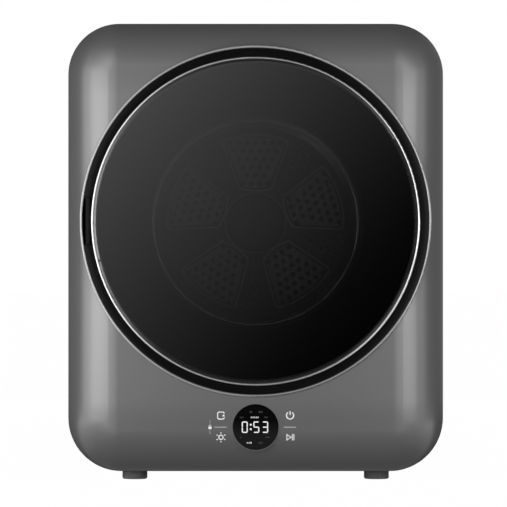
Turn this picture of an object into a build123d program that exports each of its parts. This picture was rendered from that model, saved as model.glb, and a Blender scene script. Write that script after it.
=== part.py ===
from build123d import *
from math import cos, radians, sin, tan
import os

# Compact vented tumble dryer, free standing, with a round glass door hinged on the left.
# X runs to the right seen from the front, Y from the front to the back, Z up.
# The origin is on the ground at the middle of the dryer's box. All sizes are in millimetres.

# Casing
body_width = 490.0
control_band = 98.3
foot_height = 12.0
top_corner_radius = 67.0
bottom_corner_radius = 70.0
front_edge_radius = 54.0
seam_land = 3.5
seam_gap = 0.5
panel_wall = 3.0
wrap_wall = 0.8
tray_wall = 3.0
cover_wall = 1.5
sheet = 1.0
sheet_clearance = 0.4

# Door collar, groove and door
collar_margin = 16.8
collar_top_margin = 30.3
collar_wall = 3.2
collar_depth = 26.0
lip_rise = 2.5
lip_round = 1.5
groove_width = 11.6
groove_depth = 16.0
door_setback = 0.8
chrome_width = 2.7
chrome_depth = 6.2
glass_thickness = 4.0
glass_bevel = 3.0
glass_bevel_depth = 1.2
frame_thickness = 6.5
landing_step = 7.5
landing_inset = 12.4
landing_width = 55.0
mouth_round = 5.0
moulding_wall = 2.5
bowl_clearance = 12.0
bowl_taper = 26.0
bowl_depth = 38.0
bowl_wall = 3.0
window_rim_width = 14.5
inner_ring_clearance = 3.0
inner_ring_thickness = 7.5
gasket_width = 8.0

# Hinge and catch
pin_radius = 2.0
knuckle_radius = 3.3
pin_to_rim = 4.3
pin_depth = 4.9
leaf_half_height = 13.7
lug_height = 16.0
leaf_thickness = 3.0
leaf_reach = 28.0
running_gap = 0.05
soft_gap = 0.3
seat_gap = 0.2
fit_gap = 0.3
catch_from_landing = 7.0
catch_gap = 0.6
plunger_radius = 2.2
switch_angle = -14.0

# Controls
display_rise = 59.5
display_radius = 29.6
display_proud = 0.2
bezel_width = 1.5
bezel_round = 0.7
bezel_depth = 11.5
lens_wall = 2.0
control_width = 156.0
control_height = 68.0
control_depth = 18.0
board_thickness = 1.6

# Drum
drum_side_gap = 31.0
drum_wall = 1.0
drum_length = 254.0
drum_to_bulkhead = 8.8
drum_neck_clearance = 12.0
drum_neck_length = 11.0
drum_front_round = 8.0
collar_ring_clearance = 8.8
collar_ring_length = 19.0
lifter_height = 36.0
lifter_base = 46.0
lifter_top = 18.0
lifter_end_gap = 12.0
shaft_radius = 8.0
spider_radius = 40.0
spider_thickness = 4.0
bearing_radius = 15.0
bearing_length = 16.0
back_gap = 11.0

# Lint filter cover on the drum back
filter_side_gap = 84.0
filter_wall = 2.0
filter_rim_depth = 13.0
petal_count = 5
petal_hub_gap = 7.0
petal_rim_gap = 9.0
petal_inner_half_width = 22.0
petal_side_angle = 20.6
petal_rise = 2.5
petal_hole_radius = 3.6
petal_hole_pitch = 11.4
petal_hole_margin = 9.0
petal_hole_side_margin = 7.0
petal_hole_corner_margin = 11.0
hub_radius = 38.0
hub_rise = 8.0
mesh_thickness = 1.0

# Drive
motor_side_inset = 100.0
motor_rise = 83.0
motor_radius = 48.0
motor_length = 110.0
motor_shaft_radius = 6.0
pulley_radius = 9.0
pulley_flange = 3.5
belt_width = 10.0
belt_thickness = 3.0
belt_plane_from_drum_front = 81.0
motor_behind_belt = 24.0
idler_radius = 14.0
idler_right_of_motor = 83.0
idler_above_motor = 1.0
arm_pivot_right_of_motor = 50.0
arm_pivot_below_motor = 50.0
arm_thickness = 3.0
arm_half_width = 7.0

# Air path
duct_wall = 2.0
rear_duct_inset = 8.0
rear_duct_depth = 18.8
blower_radius = 58.0
blower_eye_radius = 40.0
blower_blades = 24
scroll_radius = 70.0
chamber_radius = 57.0
blower_depth = 32.0
spigot_radius = 50.0
spigot_wall = 2.0
spigot_length = 25.0
spigot_flange_thickness = 4.3
spigot_right_of_motor = 205.0
heater_left = 80.0
heater_width = 80.0
heater_height = 58.0
heater_length = 86.0
heater_rise = 45.0
hot_duct_depth = 27.5

# Feet and fasteners
foot_radius = 16.4
foot_side_inset = 86.0
foot_front_setback = 38.0
foot_rear_setback = 45.0
foot_peg_radius = 4.0
screw_head_radius = 4.0
screw_head_height = 2.2
screw_radius = 1.8

# Depths that follow from the sizes above: the front, the drum and the air path add up to the body's depth
front_depth = lip_rise + front_edge_radius + seam_land + 4 * seam_gap
drum_space = sheet + drum_to_bulkhead + drum_length + back_gap + sheet
air_space = rear_duct_depth + blower_depth + spigot_flange_thickness + 3 * seat_gap
body_depth = front_depth + drum_space + air_space + cover_wall
y_lip = -(body_depth + spigot_length) / 2
y_face = y_lip + lip_rise
y_seam = y_face + front_edge_radius + seam_land
y_cover = y_lip + body_depth
y_cover_inner = y_cover - cover_wall
y_groove = y_lip + groove_depth
y_landing = y_groove + landing_step
y_bulkhead = y_lip + front_depth
y_bulkhead_rear = y_bulkhead + sheet
y_drum = y_bulkhead_rear + drum_to_bulkhead - drum_wall
y_drum_back = y_drum + drum_length
y_rear_sheet = y_drum_back + drum_wall + back_gap
y_rear_sheet_back = y_rear_sheet + sheet
y_blower = y_rear_sheet_back + rear_duct_depth + seat_gap
y_belt = y_drum + belt_plane_from_drum_front

# Heights and radii that follow: the collar fills the width, and the display sits in the band under it
collar_radius = body_width / 2 - collar_margin
body_height = collar_top_margin + 2 * collar_radius + control_band
z_under = foot_height
z_top = foot_height + body_height
z_split = foot_height + bottom_corner_radius
door_z = z_top - collar_top_margin - collar_radius
lip_radius = collar_radius - collar_wall
door_radius = lip_radius - groove_width
glass_radius = door_radius - chrome_width - seat_gap
landing_radius = door_radius - landing_inset
mouth_radius = landing_radius - landing_width
inner_ring_radius = landing_radius - inner_ring_clearance
bowl_radius = mouth_radius - bowl_clearance
bowl_floor_radius = bowl_radius - bowl_taper
window_rim_radius = bowl_radius + window_rim_width
catch_radius = landing_radius + catch_from_landing
drum_neck_radius = mouth_radius + drum_neck_clearance
collar_ring_radius = mouth_radius + collar_ring_clearance
display_z = foot_height + display_rise
drum_radius = body_width / 2 - drum_side_gap
filter_radius = drum_radius - filter_side_gap
petal_inner_radius = hub_radius + petal_hub_gap
petal_outer_radius = filter_radius - petal_rim_gap
rear_duct_radius = filter_radius - rear_duct_inset
motor_x = -(body_width / 2 - motor_side_inset)
motor_z = foot_height + motor_rise
spigot_x = motor_x + spigot_right_of_motor
spigot_z = motor_z - scroll_radius + chamber_radius
y_door = y_lip + door_setback
y_glass_back = y_door + seat_gap + glass_thickness
y_frame = y_door + chrome_depth + seat_gap
y_door_back = y_frame + frame_thickness
pin_x = -(door_radius + pin_to_rim)
y_pin = y_lip + pin_depth

door_axis = Axis((0, 0, door_z), (0, 1, 0))
door_section = Plane.XY.offset(door_z)

os.makedirs("parts", exist_ok=True)


def front_view(y):
    """Upright plane at depth y seen from the front: local x is X, local y is Z, out is -Y."""
    return Plane(origin=(0, y, 0), x_dir=(1, 0, 0), z_dir=(0, -1, 0))


def body_outline(inset):
    """The body's front outline, drawn in by inset all round."""
    with BuildSketch(mode=Mode.PRIVATE) as outline:
        with Locations((0, (z_under + z_top) / 2)):
            Rectangle(body_width - 2 * inset, body_height - 2 * inset)
        fillet(outline.vertices().group_by(Axis.Y)[-1], top_corner_radius - inset)
        fillet(outline.vertices().group_by(Axis.Y)[0], bottom_corner_radius - inset)
    return outline.sketch


def body_ring(outer_inset, inner_inset):
    """A strip that follows the body's outline between two insets."""
    outside = body_outline(outer_inset)
    inside = body_outline(inner_inset)
    with BuildSketch(mode=Mode.PRIVATE) as strip:
        add(outside)
        add(inside, mode=Mode.SUBTRACT)
    return strip.sketch


def annulus(centre, outer, inner):
    """A flat ring about centre, given as (x, z)."""
    with BuildSketch(mode=Mode.PRIVATE) as ring:
        with Locations(centre):
            Circle(outer)
            Circle(inner, mode=Mode.SUBTRACT)
    return ring.sketch


def sector(inner, outer, middle_angle, span):
    """A ring sector about the origin of the sketch, with the angles in degrees."""
    start = middle_angle - span / 2
    with BuildSketch(mode=Mode.PRIVATE) as piece:
        with BuildLine():
            far = CenterArc((0, 0), outer, start, span)
            near = CenterArc((0, 0), inner, start, span)
            Line(far @ 0, near @ 0)
            Line(far @ 1, near @ 1)
        make_face()
    return piece.sketch


def ring_edges(part, radius, y):
    """The circular edges of a part with this radius at this depth."""
    circles = part.edges().filter_by(GeomType.CIRCLE)
    return [e for e in circles if abs(e.radius - radius) < 0.02 and abs(e.center().Y - y) < 0.02]


# Front panel: a pillow-shaped shell, rounded towards all four sides, with the door collar

boss_x = body_width / 2 - 65
boss_low_z = foot_height + 78
boss_high_z = z_top - top_corner_radius
boss_radius = 5.0
bezel_radius = display_radius + fit_gap + bezel_width
body_shape = body_outline(0)
panel_cavity_shape = body_outline(panel_wall)

with BuildPart() as panel_cavity:
    with BuildSketch(front_view(y_seam + 1)):
        add(panel_cavity_shape)
    extrude(amount=y_seam + 1 - (y_face + panel_wall))
    fillet(panel_cavity.faces().sort_by(Axis.Y)[0].edges(), front_edge_radius - panel_wall)

with BuildPart() as front_panel:
    with BuildSketch(front_view(y_seam)):
        add(body_shape)
    extrude(amount=y_seam - y_face)
    fillet(front_panel.faces().sort_by(Axis.Y)[0].edges(), front_edge_radius)
    add(panel_cavity.part, mode=Mode.SUBTRACT)
    with BuildSketch(front_view(y_lip + collar_depth)):
        with Locations((0, door_z)):
            Circle(collar_radius)
    extrude(amount=collar_depth)
    with BuildSketch(front_view(y_seam)):
        with Locations((0, door_z)):
            Circle(lip_radius)
    extrude(amount=y_seam - y_lip, mode=Mode.SUBTRACT)
    fillet(front_panel.faces().sort_by(Axis.Y)[0].edges(), lip_round)
    with BuildSketch(front_view(y_face + bezel_depth)):
        with Locations((0, display_z)):
            Circle(bezel_radius)
    extrude(amount=bezel_depth)
    fillet(ring_edges(front_panel, bezel_radius, y_face), bezel_round)
    with BuildSketch(front_view(y_seam)):
        with Locations((0, display_z)):
            Circle(bezel_radius - bezel_width)
    extrude(amount=y_seam - y_lip, mode=Mode.SUBTRACT)
    with BuildSketch(front_view(y_bulkhead - seat_gap)):
        for side in (-1, 1):
            with Locations((side * boss_x, boss_low_z), (side * boss_x, boss_high_z)):
                Circle(boss_radius)
    extrude(amount=y_bulkhead - seat_gap - (y_face + panel_wall / 2))
front_panel.part.label = "front_panel"
export_step(front_panel.part, "parts/front_panel.step")

# Door surround: black moulding that makes the groove, the landing and the mouth of the drum

surround_boss_angles = (25, 90, 155, 215, 270, 335)
surround_boss_radius = landing_radius - 11.0
slot_angles = (-57, -51, -45, -39)
lug_clearance = 0.5
switch_hole_x = catch_radius * cos(radians(switch_angle))
switch_hole_z = door_z + catch_radius * sin(radians(switch_angle))
magnet_width = 7.0
magnet_height = 26.0
lug_middle = leaf_half_height + fit_gap + lug_height / 2

with BuildPart() as door_surround:
    with BuildSketch(door_section):
        with BuildLine():
            Polyline(
                (lip_radius - fit_gap, y_groove),
                (landing_radius, y_groove),
                (landing_radius, y_landing),
                (mouth_radius, y_landing),
                (mouth_radius, y_bulkhead - seat_gap),
                (mouth_radius + moulding_wall, y_bulkhead - seat_gap),
                (mouth_radius + moulding_wall, y_landing + moulding_wall),
                (landing_radius + moulding_wall, y_landing + moulding_wall),
                (landing_radius + moulding_wall, y_groove + moulding_wall),
                (lip_radius - fit_gap, y_groove + moulding_wall),
                close=True,
            )
        make_face()
    revolve(axis=door_axis)
    fillet(ring_edges(door_surround, mouth_radius, y_landing), mouth_round / 2)
    with BuildSketch(front_view(y_bulkhead - seat_gap)):
        with Locations((0, door_z)):
            for angle in surround_boss_angles:
                with Locations(
                    (surround_boss_radius * cos(radians(angle)), surround_boss_radius * sin(radians(angle)))
                ):
                    Circle(boss_radius)
    extrude(amount=y_bulkhead - seat_gap - (y_landing + moulding_wall / 2))
    with BuildSketch(front_view(y_groove + moulding_wall + 1)):
        with Locations((pin_x, door_z - lug_middle), (pin_x, door_z + lug_middle)):
            Rectangle(2 * (knuckle_radius + lug_clearance), lug_height + 2 * lug_clearance)
        with Locations((catch_radius, door_z)):
            Rectangle(magnet_width + fit_gap, magnet_height + fit_gap)
        with Locations((switch_hole_x, switch_hole_z)):
            Circle(plunger_radius + fit_gap)
    extrude(amount=moulding_wall + 2, mode=Mode.SUBTRACT)
    with BuildSketch(Plane.YZ.offset(mouth_radius - 2)):
        SlotOverall(14, 5)
    air_slot = extrude(amount=moulding_wall + 6, mode=Mode.PRIVATE)
    for angle in slot_angles:
        turned = air_slot.moved(Location((0, (y_landing + y_bulkhead) / 2 + 2, 0)))
        add(turned.rotate(Axis.Y, -angle).moved(Location((0, 0, door_z))), mode=Mode.SUBTRACT)
door_surround.part.label = "door_surround"
export_step(door_surround.part, "parts/door_surround.step")

# Cabinet wrap: painted sheet round the top and both sides, with a flange turned in at the rear

rear_flange = 14.0
y_wrap = y_seam + seam_gap
wrap_strip = body_ring(0, wrap_wall)
wrap_flange_strip = body_ring(0, rear_flange)

with BuildPart() as cabinet_wrap:
    with BuildSketch(front_view(y_cover_inner - seat_gap)):
        add(wrap_strip)
    extrude(amount=y_cover_inner - seat_gap - y_wrap)
    with BuildSketch(front_view(y_cover_inner - seat_gap)):
        add(wrap_flange_strip)
    extrude(amount=wrap_wall)
    split(bisect_by=Plane.XY.offset(z_split + seam_gap), keep=Keep.TOP)
cabinet_wrap.part.label = "cabinet_wrap"
export_step(cabinet_wrap.part, "parts/cabinet_wrap.step")

# Base tray: moulded bottom with rounded corners, foot sockets and stand-offs for the main board

z_floor = z_under + tray_wall
foot_x = body_width / 2 - foot_side_inset
foot_front_y = y_wrap + foot_front_setback
foot_rear_y = y_cover_inner - foot_rear_setback
foot_places = [(side * foot_x, y) for y in (foot_front_y, foot_rear_y) for side in (-1, 1)]
tray_strip = body_ring(0, tray_wall)
tray_flange_strip = body_ring(0, rear_flange)
board_side_inset = 125.0
board_x = body_width / 2 - board_side_inset
board_y = (y_wrap + y_cover_inner) / 2 + 20
board_length = 130.0
board_width = 110.0
relay_width = 18.0
relay_length = 24.0
relay_height = 16.0
relay_pitch = 25.0
relay_row = 25.0
heat_sink_width = 26.0
heat_sink_length = 40.0
heat_sink_offset = 30.0
heat_sink_row = 20.0
terminal_strip_width = 80.0
terminal_strip_length = 10.0
terminal_strip_row = 50.0
can_radius = 8.0
can_height = 20.0
can_offset = 21.0
can_row = 19.0
board_post_height = 12.0
board_post_radius = 4.0

with BuildPart() as base_tray:
    with BuildSketch(front_view(y_cover_inner - seat_gap)):
        add(tray_strip)
    extrude(amount=y_cover_inner - seat_gap - y_wrap)
    with BuildSketch(front_view(y_cover_inner - seat_gap)):
        add(tray_flange_strip)
    extrude(amount=tray_wall)
    split(bisect_by=Plane.XY.offset(z_split), keep=Keep.BOTTOM)
    with BuildSketch(Plane.XY.offset(z_floor - 0.5)):
        with Locations((board_x, board_y)):
            with GridLocations(board_width - 12, board_length - 12, 2, 2):
                Circle(board_post_radius)
    extrude(amount=board_post_height + 0.5)
    with BuildSketch(Plane.XY.offset(z_under - 1)):
        with Locations(*foot_places):
            Circle(foot_peg_radius + 0.15)
    extrude(amount=tray_wall + 2, mode=Mode.SUBTRACT)
base_tray.part.label = "base_tray"
export_step(base_tray.part, "parts/base_tray.step")

# Feet: four rubber feet, each pushed into the tray by a peg

foot_names = ("foot_front_left", "foot_front_right", "foot_rear_left", "foot_rear_right")
foot_round = 2.5
for name, place in zip(foot_names, foot_places):
    with BuildPart() as foot:
        with BuildSketch(Plane.XY):
            with Locations(place):
                Circle(foot_radius)
        extrude(amount=foot_height)
        fillet(foot.edges().group_by(Axis.Z)[0], foot_round)
        with BuildSketch(Plane.XY.offset(foot_height)):
            with Locations(place):
                Circle(foot_peg_radius)
        extrude(amount=tray_wall + 2)
        with BuildSketch(Plane.XY.offset(foot_height + tray_wall + 0.2)):
            with Locations(place):
                Circle(foot_peg_radius + 1)
        extrude(amount=1.8, taper=20)
    foot.part.label = name
    export_step(foot.part, f"parts/{name}.step")

# Rear cover: pressed sheet with an air grille, raised ribs and the hole for the exhaust

cover_shape = body_outline(1.5)
grille_drop = 150.0
grille_z = z_top - grille_drop
spigot_shoulder_radius = spigot_radius + 1.5
grille_rows = 3
grille_columns = 15
grille_slot_length = 34.0
grille_slot_width = 5.0
grille_pitch = 13.0
lower_grille_x = heater_left + heater_width + 10
lower_grille_rise = 185.0
lower_grille_z = z_under + lower_grille_rise
rib_length = 330.0
rib_width = 8.0
gland_radius = 8.0
gland_side_inset = 62.0
gland_rise = 55.0
gland_x = body_width / 2 - gland_side_inset
gland_z = foot_height + gland_rise
cover_screw_side_z = (z_under + 125, (z_under + z_top) / 2, z_top - 110)
cover_screw_x = body_width / 2 - 8
cover_screw_top_x = 110.0
cover_screw_places = [(side * cover_screw_x, z) for side in (-1, 1) for z in cover_screw_side_z]
cover_screw_places += [(side * cover_screw_top_x, z_top - 8) for side in (-1, 1)]

with BuildPart() as rear_cover:
    with BuildSketch(front_view(y_cover)):
        add(cover_shape)
    extrude(amount=cover_wall)
    with BuildSketch(front_view(y_cover + 1.2)):
        for z in (grille_z + 78, grille_z - 78, grille_z - 110):
            with Locations((0, z)):
                SlotOverall(rib_length, rib_width)
    extrude(amount=1.2 + cover_wall / 2)
    with BuildSketch(front_view(y_cover + 2)):
        with Locations((0, grille_z)):
            with GridLocations(grille_pitch, grille_slot_length + 8, grille_columns, grille_rows):
                SlotOverall(grille_slot_length, grille_slot_width, rotation=90)
        with Locations((lower_grille_x, lower_grille_z)):
            with GridLocations(grille_pitch, grille_slot_length + 8, 5, 2):
                SlotOverall(grille_slot_length, grille_slot_width, rotation=90)
        with Locations((spigot_x, spigot_z)):
            Circle(spigot_shoulder_radius + fit_gap)
        with Locations((gland_x, gland_z)):
            Circle(gland_radius + fit_gap)
        with Locations(*cover_screw_places):
            Circle(screw_radius + 0.2)
    extrude(amount=cover_wall + 4, mode=Mode.SUBTRACT)
rear_cover.part.label = "rear_cover"
export_step(rear_cover.part, "parts/rear_cover.step")

# Cord gland: bush in the rear cover where the mains lead would enter

with BuildPart() as cord_gland:
    with BuildSketch(front_view(y_cover + 3)):
        with Locations((gland_x, gland_z)):
            Circle(gland_radius + 3)
    extrude(amount=2.8)
    with BuildSketch(front_view(y_cover + 3)):
        with Locations((gland_x, gland_z)):
            Circle(gland_radius)
    extrude(amount=cover_wall + 10)
    with BuildSketch(front_view(y_cover + 6)):
        with Locations((gland_x, gland_z)):
            Circle(gland_radius - 3.5)
    extrude(amount=30, mode=Mode.SUBTRACT)
cord_gland.part.label = "cord_gland"
export_step(cord_gland.part, "parts/cord_gland.step")

# Case screws: pan heads on the rear cover, in the flange of the cabinet wrap

with BuildPart() as case_screws:
    with BuildSketch(front_view(y_cover + screw_head_height)):
        with Locations(*cover_screw_places):
            Circle(screw_head_radius)
    extrude(amount=screw_head_height)
    with BuildSketch(front_view(y_cover)):
        with Locations(*cover_screw_places):
            Circle(screw_radius)
    extrude(amount=cover_wall)
    fillet(case_screws.edges().group_by(Axis.Y)[-1], 0.9)
case_screws.part.label = "case_screws"
export_step(case_screws.part, "parts/case_screws.step")

# Front bulkhead: steel sheet that carries the front of the drum on a collar

bulkhead_inset = tray_wall + sheet_clearance
bulkhead_shape = body_outline(bulkhead_inset)
bulkhead_flange_strip = body_ring(bulkhead_inset, bulkhead_inset + sheet)
bulkhead_flange = 12.0
heater_middle = heater_left + heater_width / 2
heater_bottom = foot_height + heater_rise
heater_centre_z = heater_bottom + heater_height / 2
heater_port_width = heater_width - 12
heater_port_height = heater_height - 12

with BuildPart() as front_bulkhead:
    with BuildSketch(front_view(y_bulkhead_rear)):
        add(bulkhead_shape)
        with Locations((0, door_z)):
            Circle(mouth_radius + 1, mode=Mode.SUBTRACT)
        with Locations((heater_middle, heater_centre_z)):
            Rectangle(heater_port_width, heater_port_height, mode=Mode.SUBTRACT)
    extrude(amount=sheet)
    with BuildSketch(front_view(y_bulkhead_rear + bulkhead_flange)):
        add(bulkhead_flange_strip)
    extrude(amount=bulkhead_flange)
    with BuildSketch(front_view(y_bulkhead_rear + collar_ring_length)):
        add(annulus((0, door_z), collar_ring_radius, collar_ring_radius - sheet))
    extrude(amount=collar_ring_length)
front_bulkhead.part.label = "front_bulkhead"
export_step(front_bulkhead.part, "parts/front_bulkhead.step")

# Front felt and glide pads between the bulkhead collar and the neck of the drum

felt_width = 4.5
pad_width = 4.5
pad_span = 22.0
y_felt = y_drum + 1.0
y_pad = y_felt + felt_width + 0.5

with BuildPart() as front_felt:
    with BuildSketch(front_view(y_felt + felt_width)):
        add(annulus((0, door_z), drum_neck_radius - soft_gap, collar_ring_radius))
    extrude(amount=felt_width)
front_felt.part.label = "front_felt"
export_step(front_felt.part, "parts/front_felt.step")

with BuildPart() as drum_glides:
    with BuildSketch(front_view(y_pad + pad_width)):
        with Locations((0, door_z)):
            add(sector(collar_ring_radius, drum_neck_radius - soft_gap, -60, pad_span))
            add(sector(collar_ring_radius, drum_neck_radius - soft_gap, -120, pad_span))
    extrude(amount=pad_width)
drum_glides.part.label = "drum_glides"
export_step(drum_glides.part, "parts/drum_glides.step")

# Rear bulkhead: steel sheet with the five air windows behind the drum and the hub of the bearing

rear_window_inner = hub_radius + 8
rear_window_outer = filter_radius - 20
rear_window_span = 54.0
hub_bore = bearing_radius + 5.2
petal_angles = [90 + 360 / petal_count * index for index in range(petal_count)]
motor_shaft_hole = motor_shaft_radius + 3

with BuildPart() as rear_bulkhead:
    with BuildSketch(front_view(y_rear_sheet_back)):
        add(bulkhead_shape)
        with Locations((0, door_z)):
            Circle(hub_bore, mode=Mode.SUBTRACT)
            for angle in petal_angles:
                window = sector(rear_window_inner, rear_window_outer, angle, rear_window_span)
                add(window, mode=Mode.SUBTRACT)
        with Locations((motor_x, motor_z)):
            Circle(motor_shaft_hole, mode=Mode.SUBTRACT)
        with Locations((board_x, z_split)):
            with GridLocations(14, 1, 5, 1):
                SlotOverall(60, 7, rotation=90, mode=Mode.SUBTRACT)
    extrude(amount=sheet)
    with BuildSketch(front_view(y_rear_sheet)):
        add(bulkhead_flange_strip)
    extrude(amount=bulkhead_flange)
rear_bulkhead.part.label = "rear_bulkhead"
export_step(rear_bulkhead.part, "parts/rear_bulkhead.step")

# Rear seal: felt ring that keeps the air of the drum inside the windows of the rear bulkhead

seal_radius = filter_radius + 18
seal_width = 8.0

with BuildPart() as rear_seal:
    with BuildSketch(front_view(y_rear_sheet)):
        add(annulus((0, door_z), seal_radius, seal_radius - seal_width))
    extrude(amount=back_gap - soft_gap)
rear_seal.part.label = "rear_seal"
export_step(rear_seal.part, "parts/rear_seal.step")

# Bearing housing and bearing of the drum shaft

bearing_flange_radius = 36.0
bearing_flange_thickness = 3.0
y_spider = y_drum_back + drum_wall
y_bearing_housing = y_spider + spider_thickness + 3
housing_length = bearing_length + 2
housing_wall = 5.0

with BuildPart() as bearing_housing:
    with BuildSketch(front_view(y_bearing_housing + housing_length)):
        add(annulus((0, door_z), bearing_radius + housing_wall, bearing_radius))
    extrude(amount=housing_length)
    with BuildSketch(front_view(y_rear_sheet_back + bearing_flange_thickness)):
        add(annulus((0, door_z), bearing_flange_radius, bearing_radius + housing_wall / 2))
    extrude(amount=bearing_flange_thickness)
bearing_housing.part.label = "bearing_housing"
export_step(bearing_housing.part, "parts/bearing_housing.step")

with BuildPart() as rear_bearing:
    with BuildSketch(front_view(y_bearing_housing + 1 + bearing_length)):
        add(annulus((0, door_z), bearing_radius, shaft_radius + running_gap))
    extrude(amount=bearing_length)
rear_bearing.part.label = "rear_bearing"
export_step(rear_bearing.part, "parts/rear_bearing.step")

# Drum shell: rolled sheet with a turned-in neck at the front and two ribs that guide the belt

neck_outer = drum_neck_radius + drum_wall
belt_rib_width = 2.0
belt_rib_rise = 1.2

with BuildPart() as drum_shell:
    with BuildSketch(door_section):
        with BuildLine():
            Polyline(
                (drum_neck_radius, y_drum + drum_neck_length),
                (drum_neck_radius, y_drum - drum_wall),
                (drum_radius, y_drum - drum_wall),
                (drum_radius, y_drum_back + drum_wall),
                (drum_radius - drum_wall, y_drum_back + drum_wall),
                (drum_radius - drum_wall, y_drum),
                (neck_outer, y_drum),
                (neck_outer, y_drum + drum_neck_length),
                close=True,
            )
        make_face()
    revolve(axis=door_axis)
    fillet(ring_edges(drum_shell, drum_radius, y_drum - drum_wall), drum_front_round)
    fillet(ring_edges(drum_shell, drum_radius - drum_wall, y_drum), drum_front_round - drum_wall)
    for rib_y in (y_belt - belt_width / 2 - 1 - belt_rib_width, y_belt + belt_width / 2 + 1):
        with BuildSketch(front_view(rib_y + belt_rib_width)):
            add(annulus((0, door_z), drum_radius + belt_rib_rise, drum_radius - drum_wall / 2))
        extrude(amount=belt_rib_width)
drum_shell.part.label = "drum_shell"
export_step(drum_shell.part, "parts/drum_shell.step")

# Drum back: sheet disc with air windows behind the lint filter and a pressed bead round it

back_window_outer = filter_radius - 18
back_window_span = 50.0
bead_radius = filter_radius + 10
bead_rise = 3.0

with BuildPart() as drum_back:
    with BuildSketch(front_view(y_drum_back + drum_wall)):
        with Locations((0, door_z)):
            Circle(drum_radius - drum_wall - 0.1)
            for angle in petal_angles:
                window = sector(rear_window_inner, back_window_outer, angle, back_window_span)
                add(window, mode=Mode.SUBTRACT)
    extrude(amount=drum_wall)
    with BuildSketch(door_section):
        with Locations((bead_radius, y_drum_back)):
            Circle(bead_rise)
    bead = revolve(axis=door_axis)
    with BuildSketch(front_view(y_drum_back + drum_wall + bead_rise)):
        add(annulus((0, door_z), bead_radius + bead_rise + 1, bead_radius - bead_rise - 1))
    extrude(amount=bead_rise, mode=Mode.SUBTRACT)
drum_back.part.label = "drum_back"
export_step(drum_back.part, "parts/drum_back.step")

# Drum shaft: steel shaft on a round spider plate behind the drum back

shaft_tail = 2.0
with BuildPart() as drum_shaft:
    with BuildSketch(front_view(y_spider + spider_thickness)):
        with Locations((0, door_z)):
            Circle(spider_radius)
    extrude(amount=spider_thickness)
    with BuildSketch(front_view(y_bearing_housing + housing_length + shaft_tail)):
        with Locations((0, door_z)):
            Circle(shaft_radius)
    extrude(amount=housing_length + shaft_tail + 3 + spider_thickness / 2)
drum_shaft.part.label = "drum_shaft"
export_step(drum_shaft.part, "parts/drum_shaft.step")

# Lifters: three hollow-backed paddles that lift the clothes, bolted inside the drum shell

lifter_count = 3
lifter_round = 7.0
lifter_end_slope = 30.0
lifter_end_fall = 22.0
lifter_length = drum_length - 2 * lifter_end_gap
lifter_foot = drum_radius - drum_wall - 0.1
for index in range(lifter_count):
    with BuildPart() as lifter:
        with BuildSketch(front_view(y_drum_back - lifter_end_gap)):
            with BuildLine():
                Polyline(
                    (lifter_foot + 4, -lifter_base / 2),
                    (lifter_foot - 4, -lifter_base / 2),
                    (lifter_foot - lifter_height, -lifter_top / 2),
                    (lifter_foot - lifter_height, lifter_top / 2),
                    (lifter_foot - 4, lifter_base / 2),
                    (lifter_foot + 4, lifter_base / 2),
                    close=True,
                )
            make_face()
            fillet(vertices().sort_by(Axis.X)[0:2], lifter_round)
        extrude(amount=lifter_length)
        with BuildSketch(front_view(y_drum_back)):
            Circle(lifter_foot)
        extrude(amount=drum_length, mode=Mode.INTERSECT)
        with BuildSketch(Plane.XY.offset(-lifter_base)):
            for end, inward in ((y_drum_back - lifter_end_gap, -1), (y_drum + lifter_end_gap, 1)):
                with BuildLine():
                    Polyline(
                        (lifter_foot - lifter_height - 1, end - inward),
                        (lifter_foot - lifter_height - 1, end + inward * lifter_end_slope),
                        (lifter_foot - lifter_height + lifter_end_fall, end - inward),
                        close=True,
                    )
                make_face()
        extrude(amount=2 * lifter_base, mode=Mode.SUBTRACT)
    turned = lifter.part.rotate(Axis.Y, -90 - 360 / lifter_count * index).moved(Location((0, 0, door_z)))
    turned.label = f"lifter_{index + 1}"
    export_step(turned, f"parts/lifter_{index + 1}.step")

# Lint filter cover: five raised petals and small hole groups round a plain hub

y_filter_back = y_drum_back - fit_gap
y_filter_plate = y_filter_back - filter_rim_depth
petal_top_y = petal_outer_radius * cos(radians(22))
petal_flare = tan(radians(petal_side_angle))
petal_outer_half_width = petal_inner_half_width + (petal_top_y - petal_inner_radius) * petal_flare
petal_holes = []
row_rise = petal_hole_pitch * 0.98
row_count = int((petal_outer_radius - petal_inner_radius - petal_hole_margin) / row_rise) + 1
for row in range(row_count):
    row_radius = petal_outer_radius - petal_hole_margin - 3 - row * row_rise
    half_width = petal_inner_half_width + (row_radius - petal_inner_radius) * petal_flare
    reach = min(half_width - petal_hole_side_margin, petal_outer_half_width - petal_hole_corner_margin)
    shift = petal_hole_pitch / 2 * (row % 2)
    steps = int((reach - shift) / petal_hole_pitch)
    if row_radius > petal_inner_radius + 5:
        for step in range(-steps - (row % 2), steps + 1):
            petal_holes.append((step * petal_hole_pitch + shift, row_radius))
cluster_pitch = petal_hole_pitch * 1.12
cluster_holes = []
for holes_before, rim_gap in enumerate((51.0, 34.0, 17.5)):
    cluster_radius = filter_radius - rim_gap
    for hole in range(holes_before + 1):
        turn = (hole - holes_before / 2) * cluster_pitch / cluster_radius
        cluster_holes.append((cluster_radius * sin(turn), cluster_radius * cos(turn)))

with BuildSketch() as petal:
    with BuildLine():
        corner = (petal_outer_half_width, petal_top_y)
        side_left = Line((-petal_inner_half_width, petal_inner_radius), (-petal_outer_half_width, petal_top_y))
        ThreePointArc(side_left @ 1, (0, petal_outer_radius), corner)
        side_right = Line(corner, (petal_inner_half_width, petal_inner_radius))
        ThreePointArc(side_right @ 1, (0, petal_inner_radius - 3), side_left @ 0)
    make_face()
    fillet(petal.vertices().group_by(Axis.Y)[-1], 9)
    fillet(petal.vertices().group_by(Axis.Y)[0], 4)

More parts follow.
